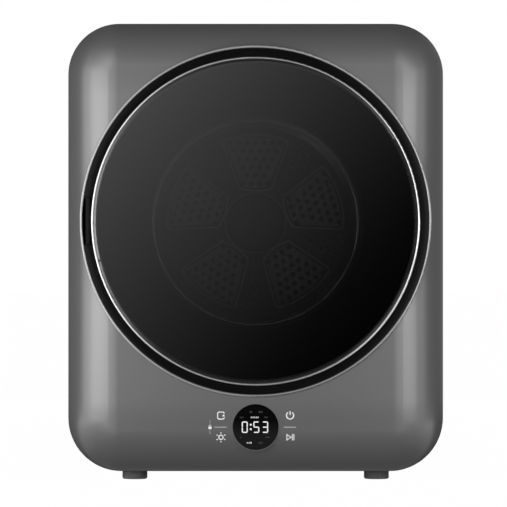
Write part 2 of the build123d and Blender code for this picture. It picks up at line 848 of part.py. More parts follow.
with BuildPart() as filter_cover:
    with BuildSketch(front_view(y_filter_plate + filter_wall)):
        with Locations((0, door_z)):
            Circle(filter_radius)
    extrude(amount=filter_wall)
    with BuildSketch(front_view(y_filter_back)):
        add(annulus((0, door_z), filter_radius, filter_radius - filter_wall - 1))
    extrude(amount=filter_rim_depth)
    with BuildSketch(front_view(y_filter_plate + filter_wall / 2)):
        for index in range(petal_count):
            with Locations(Location((0, door_z), 360 / petal_count * index)):
                add(petal.sketch)
    extrude(amount=petal_rise + filter_wall / 2)
    with BuildSketch(front_view(y_filter_plate + filter_wall)):
        with Locations((0, door_z)):
            Circle(hub_radius)
    extrude(amount=hub_rise + filter_wall)
    fillet(ring_edges(filter_cover, hub_radius, y_filter_plate - hub_rise), 3)
    with BuildSketch(front_view(y_filter_plate + filter_wall + 1)):
        for index in range(petal_count):
            with Locations(Location((0, door_z), 360 / petal_count * index)):
                with Locations(*petal_holes):
                    Circle(petal_hole_radius)
            with Locations(Location((0, door_z), 360 / petal_count * (index + 0.5))):
                with Locations(*cluster_holes):
                    Circle(petal_hole_radius)
    extrude(amount=filter_wall + petal_rise + 2, mode=Mode.SUBTRACT)
filter_cover.part.label = "filter_cover"
export_step(filter_cover.part, "parts/filter_cover.step")

with BuildPart() as filter_mesh:
    with BuildSketch(front_view(y_filter_plate + filter_wall + mesh_thickness)):
        with Locations((0, door_z)):
            Circle(filter_radius - filter_wall - 1.1)
    extrude(amount=mesh_thickness)
filter_mesh.part.label = "filter_mesh"
export_step(filter_mesh.part, "parts/filter_mesh.step")

# Motor: round housing with end bosses, held between the two uprights of its bracket

y_motor = y_belt + motor_behind_belt
boss_length = 6.0
motor_boss_radius = 18.0
bracket_wall = 3.0
bracket_left = 28.0
bracket_right = 80.0
rib_count = 16

with BuildPart() as motor_housing:
    with BuildSketch(front_view(y_motor + motor_length)):
        with Locations((motor_x, motor_z)):
            Circle(motor_radius)
    extrude(amount=motor_length)
    fillet(motor_housing.edges(), 5)
    with BuildSketch(front_view(y_motor + motor_length + boss_length)):
        with Locations((motor_x, motor_z)):
            Circle(motor_boss_radius)
    extrude(amount=motor_length + 2 * boss_length)
    with BuildSketch(front_view(y_motor + motor_length - 14)):
        with Locations((motor_x, motor_z)):
            with PolarLocations(motor_radius, rib_count):
                Rectangle(3, 5, mode=Mode.ADD)
    extrude(amount=motor_length - 28, mode=Mode.SUBTRACT)
    with BuildSketch(front_view(y_motor + motor_length + boss_length)):
        with Locations((motor_x, motor_z)):
            Circle(motor_shaft_radius + running_gap)
    extrude(amount=motor_length + 2 * boss_length, mode=Mode.SUBTRACT)
motor_housing.part.label = "motor_housing"
export_step(motor_housing.part, "parts/motor_housing.step")

y_bracket = y_motor - 1 - bracket_wall
y_bracket_rear = y_motor + motor_length + 1
bracket_middle_x = motor_x + (bracket_right - bracket_left) / 2
arm_pivot_x = motor_x + arm_pivot_right_of_motor
arm_pivot_z = motor_z - arm_pivot_below_motor
arm_pin_radius = 3.0
spring_x = arm_pivot_x + 20
spring_radius = 3.5
spring_foot_z = z_floor + bracket_wall + 6
y_arm = y_bracket - fit_gap - arm_thickness

with BuildPart() as motor_bracket:
    with BuildSketch(Plane.XY.offset(z_floor)):
        with Locations((bracket_middle_x, (y_bracket + y_bracket_rear + bracket_wall) / 2)):
            Rectangle(bracket_left + bracket_right, y_bracket_rear + bracket_wall - y_bracket)
    extrude(amount=bracket_wall)
    for upright_y in (y_bracket, y_bracket_rear):
        with BuildSketch(front_view(upright_y + bracket_wall)):
            with BuildLine():
                Polyline(
                    (motor_x - bracket_left, z_floor),
                    (motor_x + bracket_right, z_floor),
                    (motor_x + bracket_right, arm_pivot_z + 14),
                    (motor_x + motor_boss_radius + 10, motor_z + motor_boss_radius + 8),
                    (motor_x - motor_boss_radius - 10, motor_z + motor_boss_radius + 8),
                    close=True,
                )
            make_face()
            with Locations((motor_x, motor_z)):
                Circle(motor_boss_radius + 2 * running_gap, mode=Mode.SUBTRACT)
        extrude(amount=bracket_wall)
    with BuildSketch(front_view(y_bracket + bracket_wall / 2)):
        with Locations((arm_pivot_x, arm_pivot_z)):
            Circle(arm_pin_radius)
    extrude(amount=bracket_wall / 2 + arm_thickness + 2)
    with BuildSketch(front_view(y_bracket)):
        with Locations((spring_x, z_floor + bracket_wall + 3)):
            Rectangle(10, 6)
    extrude(amount=arm_thickness + 4)
motor_bracket.part.label = "motor_bracket"
export_step(motor_bracket.part, "parts/motor_bracket.step")

# Motor shaft: belt pulley turned on its front end, the blower wheel on its rear end

y_wheel = y_blower + duct_wall + 2
wheel_depth = blower_depth - 2 * duct_wall - 5

with BuildPart() as motor_shaft:
    with BuildSketch(front_view(y_wheel + wheel_depth)):
        with Locations((motor_x, motor_z)):
            Circle(motor_shaft_radius)
    extrude(amount=y_wheel + wheel_depth - (y_belt - belt_width / 2 - pulley_flange))
    with BuildSketch(front_view(y_belt + belt_width / 2 + pulley_flange)):
        with Locations((motor_x, motor_z)):
            Circle(pulley_radius)
    extrude(amount=belt_width + 2 * pulley_flange)
    for flange_y in (y_belt - belt_width / 2 - 1, y_belt + belt_width / 2 + pulley_flange):
        with BuildSketch(front_view(flange_y)):
            with Locations((motor_x, motor_z)):
                Circle(pulley_radius + belt_thickness)
        extrude(amount=pulley_flange - 1)
motor_shaft.part.label = "motor_shaft"
export_step(motor_shaft.part, "parts/motor_shaft.step")

# Motor capacitor: lies on the floor of the tray beside the motor bracket

capacitor_radius = 17.5
capacitor_length = 62.0
capacitor_x = motor_x + bracket_right + capacitor_radius + 8

with BuildPart() as motor_capacitor:
    with BuildSketch(front_view(y_motor + 20 + capacitor_length)):
        with Locations((capacitor_x, z_floor + capacitor_radius + 0.2)):
            Circle(capacitor_radius)
    extrude(amount=capacitor_length)
    fillet(motor_capacitor.edges(), 2)
    with BuildSketch(front_view(y_motor + 20)):
        with Locations((capacitor_x, z_floor + capacitor_radius)):
            with GridLocations(10, 1, 2, 1):
                Rectangle(1, 6)
    extrude(amount=9)
motor_capacitor.part.label = "motor_capacitor"
export_step(motor_capacitor.part, "parts/motor_capacitor.step")

# Drive belt: round the drum, the motor pulley and the idler that presses it outwards

idler_x = motor_x + idler_right_of_motor
idler_z = motor_z + idler_above_motor
belt_wheels = (
    (0, door_z, drum_radius),
    (motor_x, motor_z, pulley_radius),
    (idler_x, idler_z, idler_radius),
)

with BuildSketch() as belt_outside:
    for wheel_x, wheel_z, wheel_radius in belt_wheels:
        with Locations((wheel_x, wheel_z)):
            Circle(wheel_radius + soft_gap + belt_thickness)
    make_hull(belt_outside.edges())

with BuildSketch() as belt_inside:
    for wheel_x, wheel_z, wheel_radius in belt_wheels:
        with Locations((wheel_x, wheel_z)):
            Circle(wheel_radius + soft_gap)
    make_hull(belt_inside.edges())

with BuildPart() as drive_belt:
    with BuildSketch(front_view(y_belt + belt_width / 2)):
        add(belt_outside.sketch)
        add(belt_inside.sketch, mode=Mode.SUBTRACT)
    extrude(amount=belt_width)
drive_belt.part.label = "drive_belt"
export_step(drive_belt.part, "parts/drive_belt.step")

# Idler: sheet arm on the pivot of the motor bracket, its pulley and the spring that pulls it down

y_idler_pin_front = y_belt - belt_width / 2 - pulley_flange
idler_pin_radius = 4.0

with BuildPart() as idler_arm:
    with BuildSketch(front_view(y_arm + arm_thickness)):
        with Locations((arm_pivot_x, arm_pivot_z), (idler_x, idler_z)):
            Circle(arm_half_width)
        make_hull()
    extrude(amount=arm_thickness)
    with BuildSketch(front_view(y_arm + arm_thickness)):
        with Locations((arm_pivot_x, arm_pivot_z)):
            Circle(arm_pin_radius + running_gap)
    extrude(amount=arm_thickness, mode=Mode.SUBTRACT)
    with BuildSketch(front_view(y_arm + arm_thickness / 2)):
        with Locations((idler_x, idler_z)):
            Circle(idler_pin_radius)
    extrude(amount=y_arm + arm_thickness / 2 - y_idler_pin_front + 2)
idler_arm.part.label = "idler_arm"
export_step(idler_arm.part, "parts/idler_arm.step")

with BuildPart() as idler_pulley:
    with BuildSketch(front_view(y_belt + belt_width / 2 + pulley_flange)):
        with Locations((idler_x, idler_z)):
            Circle(idler_radius)
    extrude(amount=belt_width + 2 * pulley_flange)
    for flange_y in (y_belt - belt_width / 2 - 1, y_belt + belt_width / 2 + pulley_flange):
        with BuildSketch(front_view(flange_y)):
            with Locations((idler_x, idler_z)):
                Circle(idler_radius + belt_thickness)
        extrude(amount=pulley_flange - 1)
    with BuildSketch(front_view(y_belt + belt_width)):
        with Locations((idler_x, idler_z)):
            Circle(idler_pin_radius + running_gap)
    extrude(amount=2 * belt_width, mode=Mode.SUBTRACT)
idler_pulley.part.label = "idler_pulley"
export_step(idler_pulley.part, "parts/idler_pulley.step")

spring_top_z = arm_pivot_z + (spring_x - arm_pivot_x) * (idler_z - arm_pivot_z) / (idler_x - arm_pivot_x)
with BuildPart() as idler_spring:
    with BuildSketch(Plane.XY.offset(spring_foot_z + 0.1)):
        with Locations((spring_x, y_arm - spring_radius - 0.5)):
            Circle(spring_radius)
    extrude(amount=spring_top_z - spring_foot_z - 0.1)
    with BuildSketch(Plane.XY.offset(spring_top_z - 4)):
        with Locations((spring_x, y_arm - 2)):
            Rectangle(2, 3.6)
    extrude(amount=3)
idler_spring.part.label = "idler_spring"
export_step(idler_spring.part, "parts/idler_spring.step")

# Rear duct: flat tray from the windows of the rear bulkhead down to the eye of the blower

duct_lower_radius = blower_eye_radius + 12

with BuildSketch() as duct_outline:
    with Locations((0, door_z)):
        Circle(rear_duct_radius)
    with Locations((motor_x, motor_z)):
        Circle(duct_lower_radius)
    make_hull(duct_outline.edges())

with BuildSketch() as duct_hollow:
    with Locations((0, door_z)):
        Circle(rear_duct_radius - duct_wall)
    with Locations((motor_x, motor_z)):
        Circle(duct_lower_radius - duct_wall)
    make_hull(duct_hollow.edges())

y_rear_duct = y_rear_sheet_back + rear_duct_depth
with BuildPart() as rear_duct:
    with BuildSketch(front_view(y_rear_duct)):
        add(duct_outline.sketch)
    extrude(amount=rear_duct_depth)
    with BuildSketch(front_view(y_rear_duct - duct_wall)):
        add(duct_hollow.sketch)
    extrude(amount=rear_duct_depth, mode=Mode.SUBTRACT)
    with BuildSketch(front_view(y_rear_duct)):
        with Locations((motor_x, motor_z)):
            Circle(blower_eye_radius)
    extrude(amount=rear_duct_depth, mode=Mode.SUBTRACT)
rear_duct.part.label = "rear_duct"
export_step(rear_duct.part, "parts/rear_duct.step")

# Blower housing: scroll round the wheel, a channel and the chamber in front of the exhaust


def blower_outline(inset):
    """Outline of the scroll, its channel and the exhaust chamber, drawn in by inset."""
    with BuildSketch(mode=Mode.PRIVATE) as outline:
        with Locations((motor_x, motor_z)):
            Circle(scroll_radius - inset)
        with Locations(((motor_x + spigot_x) / 2, motor_z - scroll_radius / 2)):
            Rectangle(spigot_x - motor_x, scroll_radius - 2 * inset)
        with Locations((spigot_x, spigot_z)):
            Circle(chamber_radius - inset)
    return outline.sketch


blower_shape = blower_outline(0)
blower_cavity = blower_outline(duct_wall)
with BuildPart() as blower_housing:
    with BuildSketch(front_view(y_blower + blower_depth)):
        add(blower_shape)
    extrude(amount=blower_depth)
    with BuildSketch(front_view(y_blower + blower_depth - duct_wall)):
        add(blower_cavity)
    extrude(amount=blower_depth - 2 * duct_wall, mode=Mode.SUBTRACT)
    with BuildSketch(front_view(y_blower + duct_wall)):
        with Locations((motor_x, motor_z)):
            Circle(blower_eye_radius)
    extrude(amount=duct_wall, mode=Mode.SUBTRACT)
    with BuildSketch(front_view(y_blower + blower_depth)):
        with Locations((spigot_x, spigot_z)):
            Circle(spigot_radius - spigot_wall)
    extrude(amount=duct_wall, mode=Mode.SUBTRACT)
blower_housing.part.label = "blower_housing"
export_step(blower_housing.part, "parts/blower_housing.step")

# Blower wheel: back plate, hub, front rim and forward-curved blades

blade_chord = 17.0
blade_thickness = 1.2
wheel_hub_radius = 12.0

with BuildPart() as blower_wheel:
    with BuildSketch(front_view(y_wheel + wheel_depth)):
        with Locations((motor_x, motor_z)):
            Circle(blower_radius)
    extrude(amount=2)
    with BuildSketch(front_view(y_wheel + wheel_depth)):
        with Locations((motor_x, motor_z)):
            Circle(wheel_hub_radius)
    extrude(amount=wheel_depth)
    with BuildSketch(front_view(y_wheel + 2)):
        add(annulus((motor_x, motor_z), blower_radius, blower_radius - blade_chord * 0.7))
    extrude(amount=2)
    with BuildSketch(front_view(y_wheel + wheel_depth - 1)):
        with Locations((motor_x, motor_z)):
            with PolarLocations(blower_radius - blade_chord * 0.42, blower_blades):
                Rectangle(blade_chord * 0.8, blade_thickness, rotation=35)
    extrude(amount=wheel_depth - 2)
    with BuildSketch(front_view(y_wheel + wheel_depth)):
        with Locations((motor_x, motor_z)):
            Circle(motor_shaft_radius + running_gap)
    extrude(amount=wheel_depth, mode=Mode.SUBTRACT)
blower_wheel.part.label = "blower_wheel"
export_step(blower_wheel.part, "parts/blower_wheel.step")

# Exhaust spigot: flange behind the rear cover and the pipe that a hose slides over

y_spigot_flange = y_blower + blower_depth + seat_gap
spigot_flange_radius = spigot_radius + 6
spigot_shoulder_rise = 0.6

with BuildPart() as exhaust_spigot:
    with BuildSketch(front_view(y_cover_inner - seat_gap)):
        with Locations((spigot_x, spigot_z)):
            Circle(spigot_flange_radius)
    extrude(amount=spigot_flange_thickness)
    with BuildSketch(front_view(y_cover + spigot_shoulder_rise)):
        with Locations((spigot_x, spigot_z)):
            Circle(spigot_shoulder_radius)
    extrude(amount=y_cover + spigot_shoulder_rise - y_spigot_flange)
    with BuildSketch(front_view(y_cover + spigot_length)):
        with Locations((spigot_x, spigot_z)):
            Circle(spigot_radius)
    extrude(amount=y_cover + spigot_length - y_spigot_flange)
    with BuildSketch(front_view(y_cover + spigot_length)):
        with Locations((spigot_x, spigot_z)):
            Circle(spigot_radius - spigot_wall)
    extrude(amount=y_cover + spigot_length - y_spigot_flange, mode=Mode.SUBTRACT)
exhaust_spigot.part.label = "exhaust_spigot"
export_step(exhaust_spigot.part, "parts/exhaust_spigot.step")

# Heater: sheet box behind the front bulkhead with the finned block in it

heater_wall = 1.2
fin_count = 14
fin_rows = 4
fin_thickness = 1.0
bar_thickness = 3.0
fin_pitch = (heater_width - 12) / fin_count
bar_pitch = (heater_height - 8) / fin_rows
fin_block_length = 32.0

with BuildPart() as heater_housing:
    with BuildSketch(front_view(y_bulkhead_rear + heater_length)):
        with Locations((heater_middle, heater_centre_z)):
            Rectangle(heater_width, heater_height)
            Rectangle(heater_width - 2 * heater_wall, heater_height - 2 * heater_wall, mode=Mode.SUBTRACT)
    extrude(amount=heater_length)
    with BuildSketch(front_view(y_bulkhead_rear + heater_wall)):
        with Locations((heater_middle, heater_centre_z)):
            Rectangle(heater_width + 16, heater_height + 12)
            Rectangle(heater_port_width, heater_port_height, mode=Mode.SUBTRACT)
    extrude(amount=heater_wall)
heater_housing.part.label = "heater_housing"
export_step(heater_housing.part, "parts/heater_housing.step")

heater_lining = 2 * heater_wall + 2 * seat_gap

with BuildPart() as ptc_heater:
    with BuildSketch(front_view(y_bulkhead_rear + heater_length - 12)):
        with Locations((heater_middle, heater_centre_z)):
            Rectangle(heater_width - heater_lining, heater_height - heater_lining)
            with GridLocations(fin_pitch, bar_pitch, fin_count, fin_rows):
                Rectangle(fin_pitch - fin_thickness, bar_pitch - bar_thickness, mode=Mode.SUBTRACT)
    extrude(amount=fin_block_length)
ptc_heater.part.label = "ptc_heater"
export_step(ptc_heater.part, "parts/ptc_heater.step")

# Hot air duct: tray in front of the front bulkhead, from the heater up to the mouth of the drum

hot_duct_left = heater_left - 5
hot_duct_right = heater_left + heater_width + 5
hot_duct_low = heater_bottom - 2
hot_duct_points = (
    (hot_duct_left, hot_duct_low),
    (hot_duct_right, hot_duct_low),
    (hot_duct_right, door_z - mouth_radius * 1.28),
    (mouth_radius * 0.9, door_z - mouth_radius * 0.66),
    (mouth_radius * 0.6, door_z - mouth_radius * 0.66),
    (hot_duct_left, door_z - mouth_radius * 0.8),
)

with BuildSketch() as hot_duct_outline:
    with BuildLine():
        Polyline(*hot_duct_points, close=True)
    make_face()
    fillet(hot_duct_outline.vertices().group_by(Axis.Y)[0], 6)

with BuildPart() as hot_air_duct:
    with BuildSketch(front_view(y_bulkhead)):
        add(hot_duct_outline.sketch)
    extrude(amount=hot_duct_depth)
    with BuildSketch(front_view(y_bulkhead)):
        offset(hot_duct_outline.sketch, amount=-duct_wall)
    extrude(amount=hot_duct_depth - duct_wall, mode=Mode.SUBTRACT)
    with BuildSketch(front_view(y_bulkhead)):
        with Locations((0, door_z)):
            Circle(mouth_radius + moulding_wall + fit_gap)
    extrude(amount=hot_duct_depth, mode=Mode.SUBTRACT)
hot_air_duct.part.label = "hot_air_duct"
export_step(hot_air_duct.part, "parts/hot_air_duct.step")

# Main board on its four posts, with a heat sink, relays and terminals

with BuildPart() as main_board:
    with BuildSketch(Plane.XY.offset(z_floor + board_post_height)):
        with Locations((board_x, board_y)):
            Rectangle(board_width, board_length)
    extrude(amount=board_thickness)
    with BuildSketch(Plane.XY.offset(z_floor + board_post_height + board_thickness)):
        with Locations((board_x - heat_sink_offset, board_y + relay_row)):
            Rectangle(relay_width, relay_length)
        with Locations((board_x - heat_sink_offset + relay_pitch, board_y + relay_row)):
            Rectangle(relay_width, relay_length)
        with Locations((board_x + heat_sink_offset, board_y + heat_sink_row)):
            Rectangle(heat_sink_width, heat_sink_length)
        with Locations((board_x, board_y - terminal_strip_row)):
            Rectangle(terminal_strip_width, terminal_strip_length)
    extrude(amount=relay_height)
    with BuildSketch(Plane.XY.offset(z_floor + board_post_height + board_thickness)):
        with Locations((board_x + can_offset, board_y - can_row), (board_x - can_offset, board_y - can_row)):
            Circle(can_radius)
    extrude(amount=can_height)
main_board.part.label = "main_board"
export_step(main_board.part, "parts/main_board.step")

# Controls behind the front panel: round display lens, display board and their housing

lens_flange = 2.0
lens_face = 2.5
y_lens = y_face - display_proud
y_lens_flange = y_face + bezel_depth + seat_gap
lens_flange_thickness = 1.4
y_board = y_lens_flange + lens_flange_thickness + 3
digit_width = 42.0
digit_height = 22.0

with BuildPart() as display_lens:
    with BuildSketch(front_view(y_lens_flange + lens_flange_thickness)):
        with Locations((0, display_z)):
            Circle(display_radius)
    extrude(amount=y_lens_flange + lens_flange_thickness - y_lens)
    chamfer(ring_edges(display_lens, display_radius, y_lens), 0.4)
    with BuildSketch(front_view(y_lens_flange + lens_flange_thickness)):
        with Locations((0, display_z)):
            Circle(bezel_radius + lens_flange)
    extrude(amount=lens_flange_thickness)
    with BuildSketch(front_view(y_lens_flange + lens_flange_thickness)):
        with Locations((0, display_z)):
            Circle(display_radius - lens_wall)
    extrude(amount=y_lens_flange + lens_flange_thickness - (y_lens + lens_face), mode=Mode.SUBTRACT)
display_lens.part.label = "display_lens"
export_step(display_lens.part, "parts/display_lens.step")

housing_wall = 2.0
y_housing = y_lens_flange + lens_flange_thickness + seat_gap
housing_inside_width = control_width - 2 * housing_wall
housing_inside_height = control_height - 2 * housing_wall
touch_pad_x = 45.0
touch_pad_z = 14.0
touch_pad_radius = 5.0
touch_pad_gap = 2.2

with BuildPart() as control_housing:
    with BuildSketch(front_view(y_housing + control_depth)):
        with Locations((0, display_z)):
            RectangleRounded(control_width, control_height, 6)
    extrude(amount=control_depth)
    with BuildSketch(front_view(y_housing + control_depth - housing_wall)):
        with Locations((0, display_z)):
            RectangleRounded(housing_inside_width, housing_inside_height, 6 - housing_wall)
    extrude(amount=control_depth, mode=Mode.SUBTRACT)
    with BuildSketch(front_view(y_housing + control_depth - housing_wall / 2)):
        with Locations((0, display_z)):
            with GridLocations(control_width - 24, control_height - 20, 2, 2):
                Circle(3.5)
    extrude(amount=y_housing + control_depth - housing_wall / 2 - (y_board + board_thickness))
control_housing.part.label = "control_housing"
export_step(control_housing.part, "parts/control_housing.step")

with BuildPart() as display_board:
    with BuildSketch(front_view(y_board + board_thickness)):
        with Locations((0, display_z)):
            RectangleRounded(housing_inside_width - 2, housing_inside_height - 2, 3.5)
    extrude(amount=board_thickness)
    with BuildSketch(front_view(y_board)):
        with Locations((0, display_z)):
            Rectangle(digit_width, digit_height)
    extrude(amount=y_board - (y_lens + lens_face + seat_gap))
    with BuildSketch(front_view(y_board)):
        with Locations((0, display_z)):
            with GridLocations(2 * touch_pad_x, 2 * touch_pad_z, 2, 2):
                Circle(touch_pad_radius)
    extrude(amount=y_board - (y_face + panel_wall + touch_pad_gap))
display_board.part.label = "display_board"
export_step(display_board.part, "parts/display_board.step")

# Door: glass disc, chrome ring, frame, window bowl, inner ring and gasket

chrome_wall = chrome_width
ledge_reach = 5.0

with BuildPart() as door_glass:
    with BuildSketch(front_view(y_glass_back)):
        with Locations((0, door_z)):
            Circle(glass_radius)
    extrude(amount=glass_thickness)
    front_rim = ring_edges(door_glass, glass_radius, y_glass_back - glass_thickness)
    chamfer(front_rim, length=glass_bevel_depth, length2=glass_bevel)
door_glass.part.label = "door_glass"
export_step(door_glass.part, "parts/door_glass.step")

with BuildPart() as door_trim_ring:
    with BuildSketch(front_view(y_door + chrome_depth)):
        add(annulus((0, door_z), door_radius, door_radius - chrome_wall))
    extrude(amount=chrome_depth)
    fillet(door_trim_ring.faces().sort_by(Axis.Y)[0].edges(), 1.2)
    with BuildSketch(front_view(y_door + chrome_depth)):
        add(annulus((0, door_z), door_radius - chrome_wall / 2, glass_radius - ledge_reach))
    extrude(amount=y_door + chrome_depth - y_glass_back - seat_gap)
door_trim_ring.part.label = "door_trim_ring"
export_step(door_trim_ring.part, "parts/door_trim_ring.step")

frame_radius = door_radius - 2 * seat_gap
frame_bore = window_rim_radius - 8
rebate_depth = 3.2
y_leaf = y_frame + 1.3
strike_thickness = 1.2
strike_height = 24.0

with BuildPart() as door_frame:
    with BuildSketch(front_view(y_door_back)):
        add(annulus((0, door_z), frame_radius, frame_bore))
    extrude(amount=frame_thickness)
    with BuildSketch(front_view(y_door_back)):
        with Locations((0, door_z)):
            Circle(window_rim_radius + fit_gap)
    extrude(amount=rebate_depth, mode=Mode.SUBTRACT)
    fillet(ring_edges(door_frame, frame_radius, y_door_back), 1.5)
    with BuildSketch(front_view(y_door_back)):
        with Locations((pin_x + pin_to_rim + leaf_reach / 2 - 4, door_z)):
            Rectangle(leaf_reach + 8.6, 2 * (leaf_half_height + fit_gap))
    extrude(amount=y_door_back - y_leaf + 0.1, mode=Mode.SUBTRACT)
    with BuildSketch(front_view(y_door_back)):
        with Locations((catch_radius, door_z)):
            Rectangle(magnet_width + 2 * seat_gap, strike_height + 2 * seat_gap)
    extrude(amount=strike_thickness, mode=Mode.SUBTRACT)
door_frame.part.label = "door_frame"
export_step(door_frame.part, "parts/door_frame.step")

y_inner_ring_back = y_door_back + inner_ring_thickness
y_bowl_floor = y_door_back + bowl_depth

with BuildPart() as door_window:
    with BuildSketch(door_section):
        with BuildLine():
            Polyline(
                (0, y_bowl_floor),
                (0, y_bowl_floor - bowl_wall),
                (bowl_floor_radius - bowl_wall, y_bowl_floor - bowl_wall),
                (bowl_radius - bowl_wall, y_door_back - bowl_wall),
                (window_rim_radius, y_door_back - bowl_wall),
                (window_rim_radius, y_door_back - 0.1),
                (bowl_radius, y_door_back - 0.1),
                (bowl_floor_radius, y_bowl_floor),
                close=True,
            )
        make_face()
    revolve(axis=door_axis)
    fillet(ring_edges(door_window, bowl_floor_radius, y_bowl_floor), 12)
    fillet(ring_edges(door_window, bowl_floor_radius - bowl_wall, y_bowl_floor - bowl_wall), 9)
door_window.part.label = "door_window"
export_step(door_window.part, "parts/door_window.step")

door_screw_ring = (inner_ring_radius + bowl_radius) / 2 + 16
door_screw_count = 8
door_screw_start = 22.5
gasket_radius = landing_radius - 33
gasket_groove = 2.5
screw_recess = screw_head_height + fit_gap

with BuildPart() as door_inner_ring:
    with BuildSketch(front_view(y_inner_ring_back)):
        add(annulus((0, door_z), inner_ring_radius, bowl_radius + 1))
    extrude(amount=inner_ring_thickness)
    fillet(ring_edges(door_inner_ring, inner_ring_radius, y_inner_ring_back), 3)
    with BuildSketch(front_view(y_inner_ring_back)):
        add(annulus((0, door_z), gasket_radius, gasket_radius - gasket_width))
    extrude(amount=gasket_groove, mode=Mode.SUBTRACT)
    with BuildSketch(front_view(y_inner_ring_back)):
        with Locations((0, door_z)):
            with PolarLocations(door_screw_ring, door_screw_count, start_angle=door_screw_start):
                Circle(screw_head_radius + fit_gap)
    extrude(amount=screw_recess, mode=Mode.SUBTRACT)
    with BuildSketch(front_view(y_inner_ring_back)):
        with Locations((0, door_z)):
            with PolarLocations(door_screw_ring, door_screw_count, start_angle=door_screw_start):
                Circle(screw_radius + running_gap)
    extrude(amount=inner_ring_thickness, mode=Mode.SUBTRACT)
door_inner_ring.part.label = "door_inner_ring"
export_step(door_inner_ring.part, "parts/door_inner_ring.step")

with BuildPart() as door_screws:
    with BuildSketch(front_view(y_inner_ring_back - fit_gap)):
        with Locations((0, door_z)):
            with PolarLocations(door_screw_ring, door_screw_count, start_angle=door_screw_start):
                Circle(screw_head_radius)
    extrude(amount=screw_head_height)
    with BuildSketch(front_view(y_inner_ring_back - 1)):
        with Locations((0, door_z)):
            with PolarLocations(door_screw_ring, door_screw_count, start_angle=door_screw_start):
                Circle(screw_radius)
    extrude(amount=inner_ring_thickness - 1)
door_screws.part.label = "door_screws"
export_step(door_screws.part, "parts/door_screws.step")

with BuildPart() as door_gasket:
    with BuildSketch(front_view(y_landing - soft_gap)):
        add(annulus((0, door_z), gasket_radius - seat_gap, gasket_radius - gasket_width + seat_gap))
    extrude(amount=y_landing - soft_gap - (y_inner_ring_back - gasket_groove))
    fillet(door_gasket.faces().sort_by(Axis.Y)[-1].edges(), 0.6)
door_gasket.part.label = "door_gasket"
export_step(door_gasket.part, "parts/door_gasket.step")

# Strike plate in the back of the door, catch magnet in the surround

with BuildPart() as strike_plate:
    with BuildSketch(front_view(y_door_back + seat_gap)):
        with Locations((catch_radius, door_z)):
            Rectangle(magnet_width, strike_height)
    extrude(amount=strike_thickness)
strike_plate.part.label = "strike_plate"
export_step(strike_plate.part, "parts/strike_plate.step")

with BuildPart() as catch_magnet:
    with BuildSketch(front_view(y_landing + moulding_wall)):
        with Locations((catch_radius, door_z)):
            Rectangle(magnet_width, magnet_height)
    extrude(amount=y_landing + moulding_wall - (y_door_back + seat_gap + catch_gap))
catch_magnet.part.label = "catch_magnet"
export_step(catch_magnet.part, "parts/catch_magnet.step")

# Hinge: lugs of the fixed bracket, the leaf on the door between them and the pin through both

bracket_block_half = lug_middle + lug_height / 2
block_left = pin_x - knuckle_radius
block_right = -(landing_radius + moulding_wall + 2.5)

with BuildPart() as hinge_bracket:
    with BuildSketch(front_view(y_bulkhead - seat_gap)):
        with Locations(((block_left + block_right) / 2, door_z)):
            Rectangle(block_right - block_left, 2 * bracket_block_half)
    extrude(amount=y_bulkhead - seat_gap - (y_groove + moulding_wall + seat_gap))
    for side in (-1, 1):
        with BuildSketch(Plane.XY.offset(door_z + side * lug_middle - lug_height / 2)):
            with Locations((pin_x, y_pin)):
                Circle(knuckle_radius)
            with Locations((pin_x, (y_pin + y_groove + moulding_wall + 1) / 2)):
                Rectangle(2 * knuckle_radius, y_groove + moulding_wall + 1 - y_pin)
        extrude(amount=lug_height)
    with BuildSketch(Plane.XY.offset(door_z - bracket_block_half)):
        with Locations((pin_x, y_pin)):
            Circle(pin_radius)
    extrude(amount=2 * bracket_block_half, mode=Mode.SUBTRACT)
hinge_bracket.part.label = "hinge_bracket"
export_step(hinge_bracket.part, "parts/hinge_bracket.step")

with BuildPart() as hinge_pin:
    with BuildSketch(Plane.XY.offset(door_z - bracket_block_half)):
        with Locations((pin_x, y_pin)):
            Circle(pin_radius)
    extrude(amount=2 * bracket_block_half)
    chamfer(hinge_pin.edges(), 0.4)
hinge_pin.part.label = "hinge_pin"
export_step(hinge_pin.part, "parts/hinge_pin.step")

web_left = pin_x - knuckle_radius * 0.6
web_right = pin_x + pin_to_rim - 0.6

with BuildPart() as hinge_leaf:
    with BuildSketch(Plane.XY.offset(door_z - leaf_half_height)):
        with Locations((pin_x, y_pin)):
            Circle(knuckle_radius)
        with Locations(((web_left + web_right) / 2, (y_pin + y_leaf + leaf_thickness) / 2)):
            Rectangle(web_right - web_left, y_leaf + leaf_thickness - y_pin)
        with Locations(((web_left + pin_x + pin_to_rim + leaf_reach) / 2, y_leaf + leaf_thickness / 2)):
            Rectangle(pin_x + pin_to_rim + leaf_reach - web_left, leaf_thickness)
    extrude(amount=2 * leaf_half_height)
    with BuildSketch(Plane.XY.offset(door_z - leaf_half_height)):
        with Locations((pin_x, y_pin)):
            Circle(pin_radius + running_gap)
    extrude(amount=2 * leaf_half_height, mode=Mode.SUBTRACT)
hinge_leaf.part.label = "hinge_leaf"
export_step(hinge_leaf.part, "parts/hinge_leaf.step")

# Door switch behind the surround, with the plunger that the closed door holds in

switch_x = (catch_radius + 5) * cos(radians(switch_angle))
switch_z = door_z + (catch_radius + 5) * sin(radians(switch_angle))
switch_width = 12.0
switch_terminal_length = 6.0
switch_height = 22.0
switch_depth = 16.0
y_switch = y_groove + moulding_wall + seat_gap

